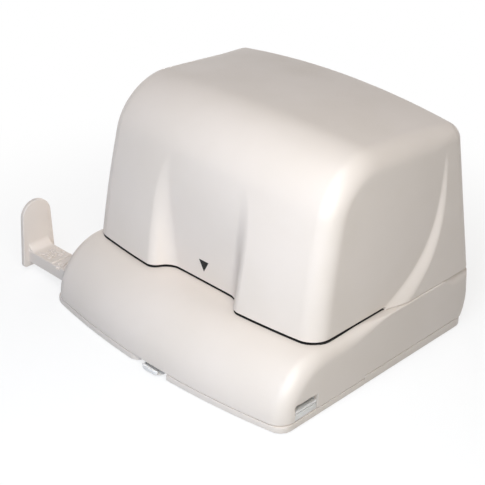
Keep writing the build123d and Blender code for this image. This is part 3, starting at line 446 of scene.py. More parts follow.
def make_cell_jacket():
    """Shrunk sleeve of a cell: dark, with a copper-coloured band at one end and worn edges."""
    material, net, shader = new_material("cell_sleeve", IOR=1.45)
    spot = net.add("SeparateXYZ", Vector=net.on_object())
    along = net.maths("ABSOLUTE", spot.outputs["X"])
    # the band runs from 37 to 51 mm off the mid plane
    band = net.maths("MULTIPLY", net.ramped(along, 0.0369, 0.0371),
                     net.ramped(along, 0.0509, 0.0507))
    surface = net.effect(MOULD_GRAIN, Grain=900.0)
    edges = net.effect(WORN_EDGES, Radius=0.0004)["Mask"]
    body = net.blended(surface["Tone"], srgb(38, 42, 48), srgb(30, 33, 38))
    body = net.blended(band, body, srgb(186, 128, 84))
    body = net.blended(edges, body, srgb(190, 190, 186))
    net.feed(shader.inputs["Base Color"], body)
    net.feed(shader.inputs["Metallic"], net.maths("MAXIMUM", net.scaled(band, 0.8), edges))
    rough = net.maths("ADD", net.scaled(surface["Tone"], 0.1), 0.22)
    net.feed(shader.inputs["Roughness"], rough)
    bumped(net, shader, surface["Height"], 0.15, 0.01)
    return material


def make_finishes():
    """One material for each slot of the record."""
    return {
        "shell": moulded("warm_white_shell", srgb(217, 207, 199), srgb(213, 203, 194),
                         srgb(232, 225, 219), 0.38, Coat_Weight=0.25, Coat_Roughness=0.25,
                         Specular_IOR_Level=0.4),
        "shell_dark": moulded("dark_grey_moulding", srgb(34, 32, 32), srgb(29, 27, 27),
                              srgb(60, 58, 58), 0.55, dust_share=0.03, Specular_IOR_Level=0.3),
        "clear_plastic": moulded("milky_clear_plastic", srgb(238, 235, 232), srgb(232, 229, 226),
                                 srgb(246, 244, 242), 0.22, depth=0.01, dust_share=0.05,
                                 Transmission_Weight=0.12, IOR=1.49),
        "rubber": moulded("grey_rubber", srgb(62, 62, 64), srgb(54, 54, 56), srgb(92, 92, 94), 0.82,
                          grain=1300.0, depth=0.06, dust_share=0.3),
        "steel": worked_metal("rolled_steel", srgb(186, 188, 190), srgb(168, 171, 174), 0.3),
        "hard_steel": worked_metal("ground_tool_steel", srgb(205, 206, 208), srgb(190, 192, 195),
                                   0.16, lines=1500.0),
        "gear_plastic": moulded("white_acetal", srgb(236, 234, 226), srgb(228, 226, 218),
                                srgb(246, 245, 240), 0.3, grain=3000.0, Subsurface_Weight=0.1),
        "brass": worked_metal("turned_brass", srgb(214, 178, 102), srgb(190, 154, 84), 0.24),
        "zinc": make_zinc(),
        "board_green": make_board(),
        "black_plastic": moulded("black_moulding", srgb(20, 20, 21), srgb(16, 16, 17),
                                 srgb(44, 44, 46), 0.5, dust_share=0.02,
                                 Specular_IOR_Level=0.25),
        "cell_jacket": make_cell_jacket(),
    }


FINISHES = make_finishes()


def dress(piece, finish):
    """Gives a piece one of the finishes."""
    piece.data.materials.clear()
    piece.data.materials.append(FINISHES[finish])


# ---- skins: meshes laid on a form ---------------------------------------------------------
def slopes(form, points):
    """Outward unit normals of a form."""
    step = 0.02
    out = []
    for axis in range(3):
        shift = np.zeros(3)
        shift[axis] = step
        out.append(form(*(points + shift).T) - form(*(points - shift).T))
    normals = np.array(out).T
    return normals / np.linalg.norm(normals, axis=1, keepdims=True)


def cast(form, starts, directions):
    """Points where rays leave the form: a coarse march, then halving."""
    reach, steps, halvings = 110.0, 56, 34
    near = np.zeros(len(starts))
    far = np.full(len(starts), reach)
    found = np.zeros(len(starts), bool)
    for t in np.linspace(0, reach, steps)[1:]:
        outside = form(*(starts + directions * t).T) > 0
        far = np.where(outside & ~found, t, far)
        found |= outside
        near = np.where(found, near, t)
    for _ in range(halvings):
        middle = (near + far) / 2
        outside = form(*(starts + directions * middle[:, None]).T) > 0
        far = np.where(outside, middle, far)
        near = np.where(outside, near, middle)
    return starts + directions * ((near + far) / 2)[:, None]


class Rounds:
    """Ray columns round an inner rectangle: straight sides, and fans at the four corners."""

    def __init__(self, xs, ys):
        self.xs, self.ys = xs, ys
        rows, fan = [], 14
        quarter = np.linspace(0, math.pi / 2, fan + 1)[1:-1]

        def side(places, direction):
            rows.extend([(px, py, *direction) for px, py in places])

        def corner(px, py, first):
            rows.extend([(px, py, math.cos(first + a), math.sin(first + a)) for a in quarter])

        x0, x1, y0, y1 = self.xs[0], self.xs[-1], self.ys[0], self.ys[-1]
        side([(x, y0) for x in self.xs], (0, -1))
        corner(x1, y0, -math.pi / 2)
        side([(x1, y) for y in self.ys], (1, 0))
        corner(x1, y1, 0)
        side([(x, y1) for x in self.xs[::-1]], (0, 1))
        corner(x0, y1, math.pi / 2)
        side([(x0, y) for y in self.ys[::-1]], (-1, 0))
        corner(x0, y0, math.pi)
        self.columns = np.array(rows)

    def ring(self, form, z, tilt=0.0):
        """One ring of points: rays at height z, tilted up by an angle that may differ by column."""
        n = len(self.columns)
        tilt = np.broadcast_to(tilt, (n,))
        starts = np.column_stack([self.columns[:, :2], np.broadcast_to(z, (n,))])
        directions = np.column_stack([self.columns[:, 2:] * np.cos(tilt)[:, None], np.sin(tilt)])
        return cast(form, starts, directions)

    def lid(self, form, z):
        """The grid of points inside the last ring, by rays straight up."""
        grid_x, grid_y = np.meshgrid(self.xs, self.ys)
        starts = np.column_stack([grid_x.ravel(), grid_y.ravel(), np.full(grid_x.size, z)])
        directions = np.tile([0.0, 0.0, 1.0], (grid_x.size, 1))
        return cast(form, starts, directions)


class MeshBuilder:
    """Collects rings and grids of points and welds them into one mesh."""

    def __init__(self):
        self.points, self.faces, self.count = [], [], 0

    def add(self, points):
        start = self.count
        self.points.append(np.asarray(points, float))
        self.count += len(points)
        return start

    def rings(self, rings, flip=False):
        """Quads between rings that follow each other."""
        starts = [self.add(ring) for ring in rings]
        n = len(rings[0])
        for low, high in zip(starts, starts[1:]):
            for i in range(n):
                j = (i + 1) % n
                quad = (low + i, low + j, high + j, high + i)
                self.faces.append(quad[::-1] if flip else quad)

    def grid(self, points, nx, ny, flip=False):
        start = self.add(points)
        for row in range(ny - 1):
            for i in range(nx - 1):
                a = start + row * nx + i
                quad = (a, a + 1, a + nx + 1, a + nx)
                self.faces.append(quad[::-1] if flip else quad)

    def build(self, name):
        weld, tiny = 0.02, 0.002
        mesh = bpy.data.meshes.new(name)
        points = np.vstack(self.points) * MM
        mesh.from_pydata(points.tolist(), [], self.faces)
        shape = bmesh.new()
        shape.from_mesh(mesh)
        bmesh.ops.remove_doubles(shape, verts=shape.verts, dist=weld * MM)
        bmesh.ops.dissolve_degenerate(shape, edges=shape.edges, dist=tiny * MM)
        bmesh.ops.recalc_face_normals(shape, faces=shape.faces)
        return finished(shape, name, mesh)


def place(data, name):
    """Puts a mesh, lamp or camera into the scene."""
    piece = bpy.data.objects.new(name, data)
    bpy.context.scene.collection.objects.link(piece)
    return piece


def finished(shape, name, mesh=None):
    """The piece that a worked-out bmesh gives."""
    mesh = mesh or bpy.data.meshes.new(name)
    shape.to_mesh(mesh)
    shape.free()
    return place(mesh, name)


def bevelled(shape, edges, radius, segments, **settings):
    """Rounds edges of a bmesh."""
    bmesh.ops.bevel(shape, geom=edges, offset=radius * MM, segments=segments, profile=0.5,
                    affect="EDGES", **settings)


def is_level(edge, axis=2):
    """True for an edge that lies square to an axis."""
    tolerance = 1e-7
    return abs(edge.verts[0].co[axis] - edge.verts[1].co[axis]) < tolerance


def cut(piece, cutter, operation="DIFFERENCE"):
    """A boolean between two meshes, worked out at once."""
    step = piece.modifiers.new("cut", "BOOLEAN")
    step.object = cutter
    step.operation = operation
    step.solver = "EXACT"
    graph = bpy.context.evaluated_depsgraph_get()
    mesh = bpy.data.meshes.new_from_object(piece.evaluated_get(graph))
    piece.modifiers.clear()
    piece.data = mesh
    bpy.data.objects.remove(cutter)


def shade(piece, sharp=35, form=None):
    """Smooth shading with sharp edges by angle; on a form, the normals are the form's own."""
    mesh = piece.data
    mesh.shade_smooth()
    mesh.set_sharp_from_angle(angle=math.radians(sharp))
    if form is None:
        return
    count = len(mesh.vertices)
    points = np.empty(count * 3)
    mesh.vertices.foreach_get("co", points)
    points = points.reshape(-1, 3) / MM
    skin, alike = 0.01, 0.8
    on_skin = np.abs(form(*points.T)) < skin
    outward = slopes(form, points)
    loop_vertex = np.empty(len(mesh.loops), int)
    mesh.loops.foreach_get("vertex_index", loop_vertex)
    face_normal = np.empty(len(mesh.polygons) * 3)
    mesh.polygons.foreach_get("normal", face_normal)
    sizes = np.empty(len(mesh.polygons), int)
    mesh.polygons.foreach_get("loop_total", sizes)
    of_face = np.repeat(face_normal.reshape(-1, 3), sizes, axis=0)
    wanted = outward[loop_vertex]
    agrees = (of_face * wanted).sum(axis=1) > alike
    wanted[~(agrees & on_skin[loop_vertex])] = 0
    mesh.normals_split_custom_set(wanted.tolist())


def moved_in(ring, normals, amount, z):
    """A ring moved into the material along its level normals, and to height z."""
    level = normals.copy()
    level[:, 2] = 0
    level /= np.linalg.norm(level, axis=1, keepdims=True)
    out = ring - level * amount
    out[:, 2] = z
    return out


def shell(name, form, rounds, low_z, turn_z, wall_steps, tilts, inner_tilts):
    """A moulded shell, open below: outer skin, rounded rim and inner skin.

    low_z is the height of the rim by column, and tilts are the ring angles above turn_z.
    """
    lip = 0.35
    mesh = MeshBuilder()
    size = len(rounds.xs), len(rounds.ys)

    def wall(skin, steps):
        return [rounds.ring(skin, low_z + lip + (turn_z - low_z - lip) * t) for t in steps]

    walls = wall(form, wall_steps)
    normals = slopes(form, walls[0])
    rim = [moved_in(walls[0], normals, lip * (1 - math.cos(angle)),
                    low_z + lip * (1 - math.sin(angle))) for angle in np.radians([90, 60, 30])]
    dome = [rounds.ring(form, turn_z, tilt) for tilt in tilts]
    mesh.rings(rim + walls + dome)
    mesh.grid(rounds.lid(form, turn_z), *size)

    def inside(x, y, z):
        return form(x, y, z) + WALL

    under = rounds.ring(inside, low_z + lip)
    under[:, 2] = low_z
    inner_walls = wall(inside, np.linspace(0, 1, 9))
    inner_dome = [rounds.ring(inside, turn_z, tilt) for tilt in inner_tilts]
    mesh.rings([rim[0], under] + inner_walls + inner_dome, flip=True)
    mesh.grid(rounds.lid(inside, turn_z), *size, flip=True)
    return mesh.build(name)


def spaced(*spans):
    """Places along an axis: each span is (from, to, step)."""
    out = []
    for start, end, step in spans:
        n = max(1, round(abs(end - start) / step))
        out.extend(np.linspace(start, end, n + 1)[:-1])
    out.append(spans[-1][1])
    return np.array(out)


def box_mesh(name, low, high, radius=0.0, segments=3, edges=None):
    """A block between two corners, with rounded edges: all of them, or those along one axis."""
    shape = bmesh.new()
    bmesh.ops.create_cube(shape, size=1.0)
    low, high = np.array(low, float), np.array(high, float)
    for vertex in shape.verts:
        vertex.co = Vector(((np.array(vertex.co) + 0.5) * (high - low) + low) * MM)
    if radius:
        chosen = [e for e in shape.edges
                  if edges is None or all(is_level(e, i) for i in range(3) if i != edges)]
        bevelled(shape, chosen, radius, segments)
    return finished(shape, name)


def extruded(name, outline, low, high, axis=2, bevel=0.0):
    """A prism over an outline of points, along an axis, with its rims rounded."""
    shape = bmesh.new()
    across = [i for i in range(3) if i != axis]
    vertices = []
    for point in outline:
        corner = [low * MM] * 3
        for i, value in zip(across, point):
            corner[i] = value * MM
        vertices.append(shape.verts.new(corner))
    out = bmesh.ops.extrude_face_region(shape, geom=[shape.faces.new(vertices)])
    moved = [item for item in out["geom"] if isinstance(item, bmesh.types.BMVert)]
    shift = [0.0, 0.0, 0.0]
    shift[axis] = (high - low) * MM
    bmesh.ops.translate(shape, verts=moved, vec=shift)
    bmesh.ops.recalc_face_normals(shape, faces=shape.faces)
    if bevel:
        rims = [e for e in shape.edges if is_level(e, axis)]
        bevelled(shape, rims, bevel, 3, clamp_overlap=True)
    return finished(shape, name)


def rod(name, start, end, radius, sides=32):
    """A round rod with lightly rounded ends."""
    start, end = Vector(start), Vector(end)
    shape = bmesh.new()
    bmesh.ops.create_cone(shape, cap_ends=True, segments=sides, radius1=radius * MM,
                          radius2=radius * MM, depth=(end - start).length * MM)
    bevelled(shape, [e for e in shape.edges if is_level(e)], 0.12, 2)
    turn = (end - start).to_track_quat("Z", "Y").to_matrix().to_4x4()
    bmesh.ops.transform(shape, matrix=Matrix.Translation((start + end) / 2 * MM) @ turn,
                        verts=shape.verts)
    return finished(shape, name)


def soften_rims(piece, radius):
    """Rounds the upper and lower rims of a prism."""
    shape = bmesh.new()
    shape.from_mesh(piece.data)
    rims = [e for e in shape.edges if is_level(e) and abs(e.calc_face_angle(0)) > 1]
    bevelled(shape, rims, radius, 3)
    shape.to_mesh(piece.data)
    shape.free()


def add_to(piece, addition):
    """Joins a mesh to a piece."""
    cut(piece, addition, "UNION")


def arc(centre_a, centre_b, radius, first, last, count):
    """Points on an arc, with its angles as shares of a half turn."""
    return [(centre_a + radius * math.cos(angle), centre_b + radius * math.sin(angle))
            for angle in np.linspace(first * math.pi, last * math.pi, count)]


def belongs(piece, body, slot, *nodes):
    """Gives a piece its body and finish, and hides the nodes that it stands for."""
    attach(piece, body)
    dress(piece, slot)
    if nodes:
        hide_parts(*nodes)


# ---- pieces -------------------------------------------------------------------------------
SPLIT = 0.02        # half the gap between two columns of points where a rim steps up or down


def make_hood():
    """The hood moulding, whose rim is higher over the paper slot than behind it."""
    seam, turn_z = 0.08, 80.0
    xs = spaced((-58, -38, 1.2), (-38, -18, 0.7), (-18, 18, 2), (18, 38, 0.7), (38, 58, 1.2))
    step = (SLOT_END_Y - SPLIT, SLOT_END_Y + SPLIT)
    rounds = Rounds(xs, spaced((-26, step[0], 1.2), (*step, 2 * SPLIT), (step[1], 48, 0.6)))
    low_z = np.where(rounds.columns[:, 1] < SLOT_END_Y, SLOT_Z, DECK_Z + seam)
    wall_steps = np.concatenate([[0, 0.01, 0.02], np.linspace(0.03, 0.4, 33)[:-1],
                                 np.linspace(0.4, 1, 30)])
    tilts, inner_tilts = (np.radians(np.linspace(0, 90, count)[1:]) for count in (31, 13))
    hood = shell("hood_moulding", hood_form, rounds, low_z, turn_z, wall_steps, tilts, inner_tilts)
    shade(hood, form=hood_form)
    belongs(hood, "body", "shell", "hood")


def die_room():
    """The opening in the deck that the die plate lies in."""
    return box_mesh("die_room", (-52.2, -28.2, DECK_Z - 3), (52.2, 14.2, DECK_Z + 2))


def make_base():
    """The base moulding, with its windows, the opening for the die plate and the plug hole."""
    gap, turn_z = 0.1, 7.0
    step = (BAND_STEP_Y - SPLIT, BAND_STEP_Y + SPLIT)
    ys = spaced((-46, step[0], 1.5), (*step, 2 * SPLIT), (step[1], 5, 1.2), (5, 54, 2.0))
    rounds = Rounds(spaced((-58, 58, 2.0)), ys)
    low_z = np.where(rounds.columns[:, 1] < BAND_STEP_Y, BAND_FRONT_Z, BAND_REAR_Z) + gap
    # the rings lie closest together near the upper edge, which is at the angle called corner
    outline = rounds.ring(plan_form, 20.0)
    reach = np.hypot(*(outline[:, :2] - rounds.columns[:, :2]).T)
    corner = np.arctan2(DECK_Z - turn_z, reach)
    tilts = [corner * t for t in np.linspace(0, 0.9, 17)[1:]]
    tilts += [corner + a for a in np.radians([-3, -1.6, -0.8, -0.3, 0, 0.3, 0.8, 1.6, 3])]
    tilts += [corner + (math.pi / 2 - corner) * t for t in np.linspace(0.12, 1, 12)]
    base = shell("base_moulding", base_form, rounds, low_z, turn_z, [0, 0.15, 0.4, 0.7, 1.0], tilts,
                 [np.full(len(corner), a) for a in np.radians(np.linspace(0, 90, 13)[1:])])
    # a window on each side, which the paper guide passes through
    cut(base, box_mesh("window", (-FAR, WINDOW_Y0, -2), (FAR, WINDOW_Y1, WINDOW_TOP), 0.9, 4,
                       edges=0))
    cut(base, die_room())
    cut(base, rod("plug_hole", (JACK_X, 50, JACK_Z), (JACK_X, 80, JACK_Z), 3.6, 48))
    shade(base, form=base_form)
    belongs(base, "body", "shell", "base_housing")


def plan_outline(inset, y0, y1):
    """Points of the bottom plates' outline between two depths, in order."""
    rays, depth, height = 233, 60, 2.0

    def form(x, y, z):
        plan = plan_form(x, y, z) + inset
        return np.maximum(plan, np.maximum(y0 - y, y - y1))

    middle = (max(y0, -depth) + min(y1, depth)) / 2
    angles = np.linspace(0, 2 * math.pi, rays, endpoint=False)
    corners = [(side * (SIDE - inset), y) for side in (-1, 1) for y in (y0, y1)
               if -depth < y < depth]
    extra = [math.atan2(y - middle, x) % (2 * math.pi) for x, y in corners]
    angles = np.unique(np.concatenate([angles, extra]))
    starts = np.tile([0.0, middle, height], (len(angles), 1))
    directions = np.column_stack([np.cos(angles), np.sin(angles), np.zeros(len(angles))])
    return cast(form, starts, directions)[:, :2]


def notch_outline(x0, x1):
    """Plan of the notch for the pull tab: its left side turns into the front in a round."""
    turn, front, back = 3.6, base_front(x0) + 0.35, TRAY_FRONT_Y - 4.4
    points = [(x0, back)] + arc(x0 - turn, front + turn, turn, 0, -0.5, 12)
    return points + [(x0 - turn, -FAR), (x1, -FAR), (x1, back)]


def make_bands():
    """The two bottom plates, which show as a band under the base."""
    inset, rim, half_gap = 0.05, 0.45, 0.1
    room_half, room_y = TRAY_HALF + 0.4, TRAY_FRONT_Y - 0.4
    notch = (TAB_X - NOTCH_HALF, TAB_X + NOTCH_HALF)
    front = extruded("front_band", plan_outline(inset, -FAR, BAND_STEP_Y - half_gap), PLATE_Z,
                     BAND_FRONT_Z - BAND_GAP, bevel=rim)
    cut(front, box_mesh("tray_room", (-room_half, room_y, -2), (room_half, 0, 9)))
    cut(front, box_mesh("notch", (notch[0], -FAR, -2), (notch[1], TRAY_FRONT_Y, NOTCH_TOP)))
    cut(front, extruded("notch_mouth", notch_outline(*notch), -2, 9))
    top = BAND_REAR_Z - BAND_GAP
    rear = extruded("rear_band", plan_outline(inset, BAND_STEP_Y + half_gap, FAR), PLATE_Z, top,
                    bevel=rim)
    cut(rear, box_mesh("hinge_room", (-room_half, -20, -2), (room_half, -3.0, 9)))
    cut(rear, box_mesh("door_room", (-54.5, 24, -2), (54.5, 55, 9)))
    cut(rear, box_mesh("inner_room", (-73, -12, 2.1), (73, 60, 9)))
    post, well, hole, foot = 4.5, 3, 1.7, 6.1       # radii
    for x, y in SCREW_PLACES:
        add_to(rear, rod("screw_post", (x, y, 1.0), (x, y, top), post))
        cut(rear, rod("screw_well", (x, y, -1), (x, y, 3), well))
        cut(rear, rod("screw_hole", (x, y, 0), (x, y, 10), hole))
    seat_top = PLATE_Z + RUBBER_SEAT
    for plate, y in ((front, FRONT_FOOT_Y), (rear, REAR_FOOT_Y)):
        for x in (-FOOT_X, FOOT_X):
            cut(plate, rod("foot_seat", (x, y, -1), (x, y, seat_top), foot))
    cut(rear, box_mesh("strip_seat", (-40.1, -1.6, -1), (40.1, 8.6, seat_top)))
    for piece, node in ((front, "front_plinth"), (rear, "bottom_cover")):
        shade(piece)
        belongs(piece, "body", "shell", node)


def stop_outline():
    """Outline of the stop plate: wide and square below, round on top."""
    low_half, top_half, top_z, low_z, corner = 10.0, 8.7, 29.3, 2.4, 2.0
    points = arc(GUIDE_Y, top_z, top_half, 0, 1, 49)
    points += arc(GUIDE_Y - low_half + corner, low_z + corner, corner, 1, 1.5, 9)
    return points + arc(GUIDE_Y + low_half - corner, low_z + corner, corner, 1.5, 2, 9)


def arm_outline():
    """Cross-section of the arm: a channel open below, with softened upper corners."""
    y0, y1, wall, soft = GUIDE_Y - ARM_HALF, GUIDE_Y + ARM_HALF, 1.7, 0.5
    points = [(y0, ARM_LOW)] + arc(y0 + soft, ARM_TOP - soft, soft, 1, 0.5, 5)
    points += arc(y1 - soft, ARM_TOP - soft, soft, 0.5, 0, 5)
    return points + [(y1, ARM_LOW), (y1 - wall, ARM_LOW), (y1 - wall, ARM_TOP - wall),
                     (y0 + wall, ARM_TOP - wall), (y0 + wall, ARM_LOW)]


def web_outline():
    """The soft inner corner between arm and stop plate, in the X-Z plane."""
    reach, depth = 4.6, 0.6
    inner_x, low_z = STOP_X - 0.4, ARM_TOP - depth
    points = [(inner_x, low_z), (STOP_X + reach, low_z)]
    points += arc(STOP_X + reach, ARM_TOP + reach, reach, -0.5, -1, 9)
    return points + [(inner_x, ARM_TOP + reach)]


def raised_words(name, text, middle):
    """Letters raised from the top of the arm."""
    size, rise, rim, weight = 6.0, 0.42, 0.1, 0.08
    curve = bpy.data.curves.new(name, "FONT")
    curve.body = text
    curve.size = size * MM
    curve.extrude = rise * MM
    curve.bevel_depth = rim * MM
    curve.offset = weight * MM
    curve.resolution_u = 3
    curve.align_x, curve.align_y = "CENTER", "CENTER"
    holder = place(curve, name)
    graph = bpy.context.evaluated_depsgraph_get()
    mesh = bpy.data.meshes.new_from_object(holder.evaluated_get(graph))
    bpy.data.objects.remove(holder)
    mesh.transform(Matrix.Translation(Vector(middle) * MM))
    return place(mesh, name)


def make_guide():
    """The paper guide: arm, stop plate, edge notches, rib and raised sheet sizes."""
    front_y = GUIDE_Y - ARM_HALF
    stop = extruded("guide_stop", stop_outline(), STOP_X - 2.2, STOP_X, axis=0, bevel=0.4)
    arm = extruded("guide_arm", arm_outline(), STOP_X - 1, ARM_END_X, axis=0)
    web = extruded("guide_web", web_outline(), front_y + 0.35, GUIDE_Y + ARM_HALF - 0.35, axis=1,
                   bevel=0.15)
    notch_half = 1.25
    for x in (-84, -68, -52, -36, -20):
        notch = box_mesh("sheet_notch", (-notch_half,) * 3, (notch_half,) * 3)
        notch.data.transform(Matrix.Translation(Vector((x, front_y, ARM_TOP)) * MM)
                             @ Matrix.Rotation(math.radians(45), 4, "Z"))
        cut(arm, notch)
    add_to(arm, box_mesh("guide_rib", (-90.2, GUIDE_Y - 6.3, ARM_TOP - 0.3),
                         (-89.0, GUIDE_Y + 6.2, ARM_TOP + 0.55), 0.25, 2))
    add_to(arm, stop)
    add_to(arm, web)
    arm.name = "paper_guide_moulding"
    shade(arm, sharp=30)
    belongs(arm, "guide", "shell", "paper_guide")
    marks = (("888", -96.7, 2.9), ("A5", -96.7, -2.8), ("80", -83.2, 2.9), ("A4", -83.2, -2.8))
    for i, (text, x, across) in enumerate(marks):
        mark = raised_words("guide_mark_" + str(i), text, (x, GUIDE_Y + across, ARM_TOP))
        shade(mark)
        belongs(mark, "guide", "shell")


def make_rail():
    """The clear rail that the arm slides on; its closed end shows in the window."""
    wall, inner, low, floor_top = 1.2, SIDE - WALL - 0.1, 3.9, 5.0
    y0, y1 = WINDOW_Y0 - wall, WINDOW_Y1 + wall
    rail = box_mesh("guide_rail_floor", (-inner, y0, low), (inner, y1, floor_top), 0.15, 2)
    front_top, rear_top, end_top = 8.2, 9.7, 8.4
    for start, end in (((-inner, y0, low), (inner, WINDOW_Y0, front_top)),
                       ((-inner, WINDOW_Y1, low), (inner, y1, rear_top)),
                       ((73.2, WINDOW_Y0 + 0.2, low), (75.9, WINDOW_Y1 - 0.2, end_top))):
        add_to(rail, box_mesh("rail_part", start, end, 0.3, 3))
    cut(rail, box_mesh("rail_groove", (74.9, WINDOW_Y0, 7.1), (77, WINDOW_Y1, 7.75)))
    shade(rail, sharp=50)
    belongs(rail, "body", "clear_plastic", "guide_rail")


def make_tray():
    """Clear chip tray: floor plate, pan for the chips, hinge and pull tab."""
    low, thick = PLATE_Z + 0.3, 1.4
    tray = box_mesh("chip_tray_moulding", (-TRAY_HALF, TRAY_FRONT_Y, low),
                    (TRAY_HALF, HINGE_Y, low + thick), 0.2, 2)
    tab_x = (TAB_X - TAB_HALF, TAB_X + TAB_HALF)
    tab = box_mesh("tab", (tab_x[0], TAB_FRONT_Y, low), (tab_x[1], -63.6, low + 2.3), 3.6, 8,
                   edges=2)
    soften_rims(tab, 0.35)
    cut(tab, box_mesh("finger_groove", (tab_x[0] - 1, -75.45, low + 0.5),
                      (tab_x[1] + 1, TRAY_FRONT_Y - 1, low + 3)))
    add_to(tray, tab)
    add_to(tray, box_mesh("pan", (-52, -41, low + 0.6), (52, -7, 13), 3, 6, edges=2))
    cut(tray, box_mesh("pan_room", (-50.8, -39.8, low + thick), (50.8, -8.2, 20), 1.8, 5, edges=2))
    rib_half, rib_top = 0.5, 4.2
    for x in (-30, -10, 10, 30):
        add_to(tray, box_mesh("rib", (x - rib_half, -39.9, low + 1.3),
                              (x + rib_half, -8.1, rib_top)))
    for name, half, radius in (("hinge_rod", TRAY_HALF, 1.6), ("hinge_pins", TRAY_HALF + 2.6, 0.8)):
        add_to(tray, rod(name, (-half, HINGE_Y, HINGE_Z), (half, HINGE_Y, HINGE_Z), radius))
    shade(tray)
    belongs(tray, "tray", "clear_plastic", "chip_tray")


def make_sheet_mark():
    """Small black triangle printed on the scoop: it points at the middle of the sheet."""
    shape = bmesh.new()
    corners, proud, sunk = [(-3.1, 42.9), (3.1, 42.9), (0.0, 37.2)], 0.03, 0.2
    front, back = ([shape.verts.new((x * MM, (scoop_wall(z) + off) * MM, z * MM))
                    for x, z in corners] for off in (-proud, sunk))
    shape.faces.new(front)
    shape.faces.new(back[::-1])
    for i in range(3):
        j = (i + 1) % 3
        shape.faces.new((front[j], front[i], back[i], back[j]))
    bmesh.ops.recalc_face_normals(shape, faces=shape.faces)
    belongs(finished(shape, "sheet_mark"), "body", "black_plastic")


def make_throat_plate_as_slot_shade():
    """The dark plate let into the deck, the lower side of the paper slot, drawn out to just inside the hood's rim
    so that its dark colour is painted shade in the slot.
    """
    # painted shade: the plate's own dark colour reaches to 0.3 mm inside the hood's outline, so the paper slot
    # shows black
    inset, depth, proud = 0.3, 0.8, 0.03
    xs = spaced((-58, -38, 2), (-38, -18, 0.5), (-18, 18, 6), (18, 38, 0.5), (38, 58, 2))
    columns = Rounds(xs, spaced((-26, SLOT_END_Y, 2)))

    def form(x, y, z):
        return np.maximum(hood_form(x, y, z) + inset, y - SLOT_END_Y)

    outline = columns.ring(form, SLOT_Z)[:, :2]
    plate = extruded("throat_floor", outline, DECK_Z - depth, DECK_Z + proud)
    cut(plate, die_room())
    shade(plate)
    belongs(plate, "body", "shell_dark", "throat_plate")


# ---- the punch ----------------------------------------------------------------------------
make_hood()
make_base()
make_bands()
make_throat_plate_as_slot_shade()
make_guide()
make_rail()
make_tray()
make_sheet_mark()
for row in frame["record"]["subparts"]:
    dress(frame["nodes"][row["node"]], row["material_slot"])


# ---- floor, light and camera --------------------------------------------------------------
def seen_directly(net):
    """1 for what the camera sees, also mirrored or through clear plastic, and 0 for other light."""
    path = net.add("LightPath").outputs
    mirrored = net.maths("MAXIMUM", path["Is Glossy Ray"], path["Is Transmission Ray"])
    return net.maths("MAXIMUM", path["Is Camera Ray"], mirrored)


def make_floor():
    """A pale floor that keeps the shadow of the punch and is white further out."""
    size, below = 12.0, -0.0002
    shadow_end, white_start, least_white = 0.1, 0.26, 0.75
    mesh = bpy.data.meshes.new("floor")
    corners = [(-size, -size, 0), (size, -size, 0), (size, size, 0), (-size, size, 0)]
    mesh.from_pydata(corners, [], [(0, 1, 2, 3)])
    floor = place(mesh, "floor")
    floor.location.z = below
    material, net, shader = new_material("pale_floor", Roughness=0.9)
    grey, pale = (0.45, 0.45, 0.45, 1), (0.95, 0.95, 0.95, 1)
    net.feed(shader.inputs["Base Color"], net.blended(seen_directly(net), grey, pale))
    white = net.add("Emission", Strength=1.0)
    away = net.add("VectorMath", {"operation": "LENGTH"}, Vector=net.on_object()).outputs["Value"]
    clear_of_shadow = net.ramped(away, shadow_end, white_start, least_white)
    share = net.maths("MULTIPLY", seen_directly(net), clear_of_shadow)
    shown = net.mixed(share, shader, white)
    # the floor is clear from below, so that the underside can be looked at
    backfacing = net.add("NewGeometry").outputs["Backfacing"]
    surface = net.mixed(backfacing, shown, net.add("BsdfTransparent"))
    net.feed(net.tree.nodes["Material Output"].inputs["Surface"], surface.outputs[0])
    mesh.materials.append(material)


def direction(azimuth, elevation):
    """Unit vector from the punch to a viewer, by degrees round from the front and up."""
    a, e = math.radians(azimuth), math.radians(elevation)
    return Vector((math.sin(a) * math.cos(e), -math.cos(a) * math.cos(e), math.sin(e)))


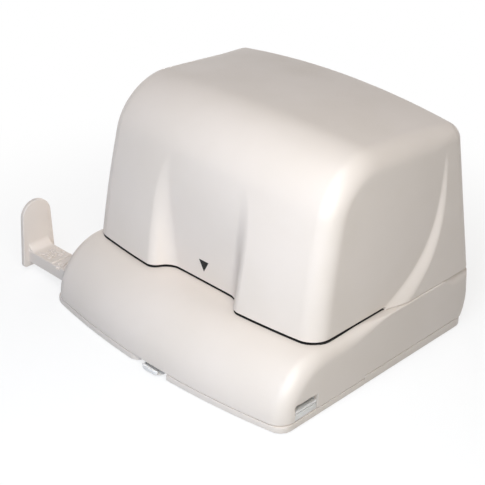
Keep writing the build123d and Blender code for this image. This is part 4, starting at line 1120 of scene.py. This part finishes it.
def area_light(name, azimuth, elevation, distance, size, energy, colour, mirrored=True):
    """A soft box that shines on the middle of the punch, shown in reflections if mirrored."""
    light = bpy.data.lights.new(name, "AREA")
    light.shape = "RECTANGLE"
    light.size, light.size_y = size
    light.energy = energy
    light.color = colour
    lamp = place(light, name)
    away = direction(azimuth, elevation) * distance
    lamp.location = Vector((0, 0, 0.05)) + away
    lamp.rotation_euler = away.to_track_quat("Z", "Y").to_euler()
    lamp.visible_camera = False
    lamp.visible_glossy = mirrored


def make_lights():
    """Three boxes near the front, two low ones at the back and left, and a faint world."""
    area_light("overhead_box", 25, 60, 0.5, (0.32, 0.32), 1.22, (1.0, 0.975, 0.95))
    area_light("side_box", 46, 26, 0.45, (0.26, 0.26), 1.18, (1.0, 1.0, 0.93))
    area_light("front_box", 20, 25, 0.45, (0.3, 0.3), 0.82, (0.5, 0.7, 1.0))
    for name, azimuth in (("rear_box", 183), ("left_box", 250)):
        area_light(name, azimuth, 3, 0.6, (0.36, 0.08), 2.0, (1.0, 1.0, 1.0), mirrored=False)
    world = bpy.data.worlds.new("studio")
    bpy.context.scene.world = world
    world.use_nodes = True
    net = Net(world.node_tree)
    soft = net.tree.nodes["Background"]
    soft.inputs["Color"].default_value = (1.0, 0.7, 0.6, 1)
    soft.inputs["Strength"].default_value = 0.05
    white = net.add("Background", Color=(1, 1, 1, 1), Strength=1.0)
    surface = net.mixed(seen_directly(net), soft, white)
    net.feed(net.tree.nodes["World Output"].inputs["Surface"], surface.outputs[0])


def make_camera():
    """A long lens seen from the front right, a little off level."""
    target, distance, aside, above, roll = Vector((1.7, -11.06, 36.36)), 599.8, 3.52, 5.0, 1.18
    back, roll = direction(43.93, 29.37), math.radians(roll)
    level_right = Vector((0, 0, 1)).cross(back).normalized()
    level_up = back.cross(level_right)
    right = level_right * math.cos(roll) + level_up * math.sin(roll)
    up = level_up * math.cos(roll) - level_right * math.sin(roll)
    data = bpy.data.cameras.new("camera")
    data.sensor_width = 36.0
    data.lens = 94.88
    data.clip_start = 0.01
    camera = place(data, "camera")
    position = target + back * distance - right * aside + up * above
    turn = Matrix((right, up, back)).transposed().to_4x4()
    camera.matrix_world = Matrix.Translation(position * MM) @ turn
    bpy.context.scene.camera = camera


make_floor()
make_lights()
make_camera()
bpy.context.scene.view_settings.view_transform = "Standard"
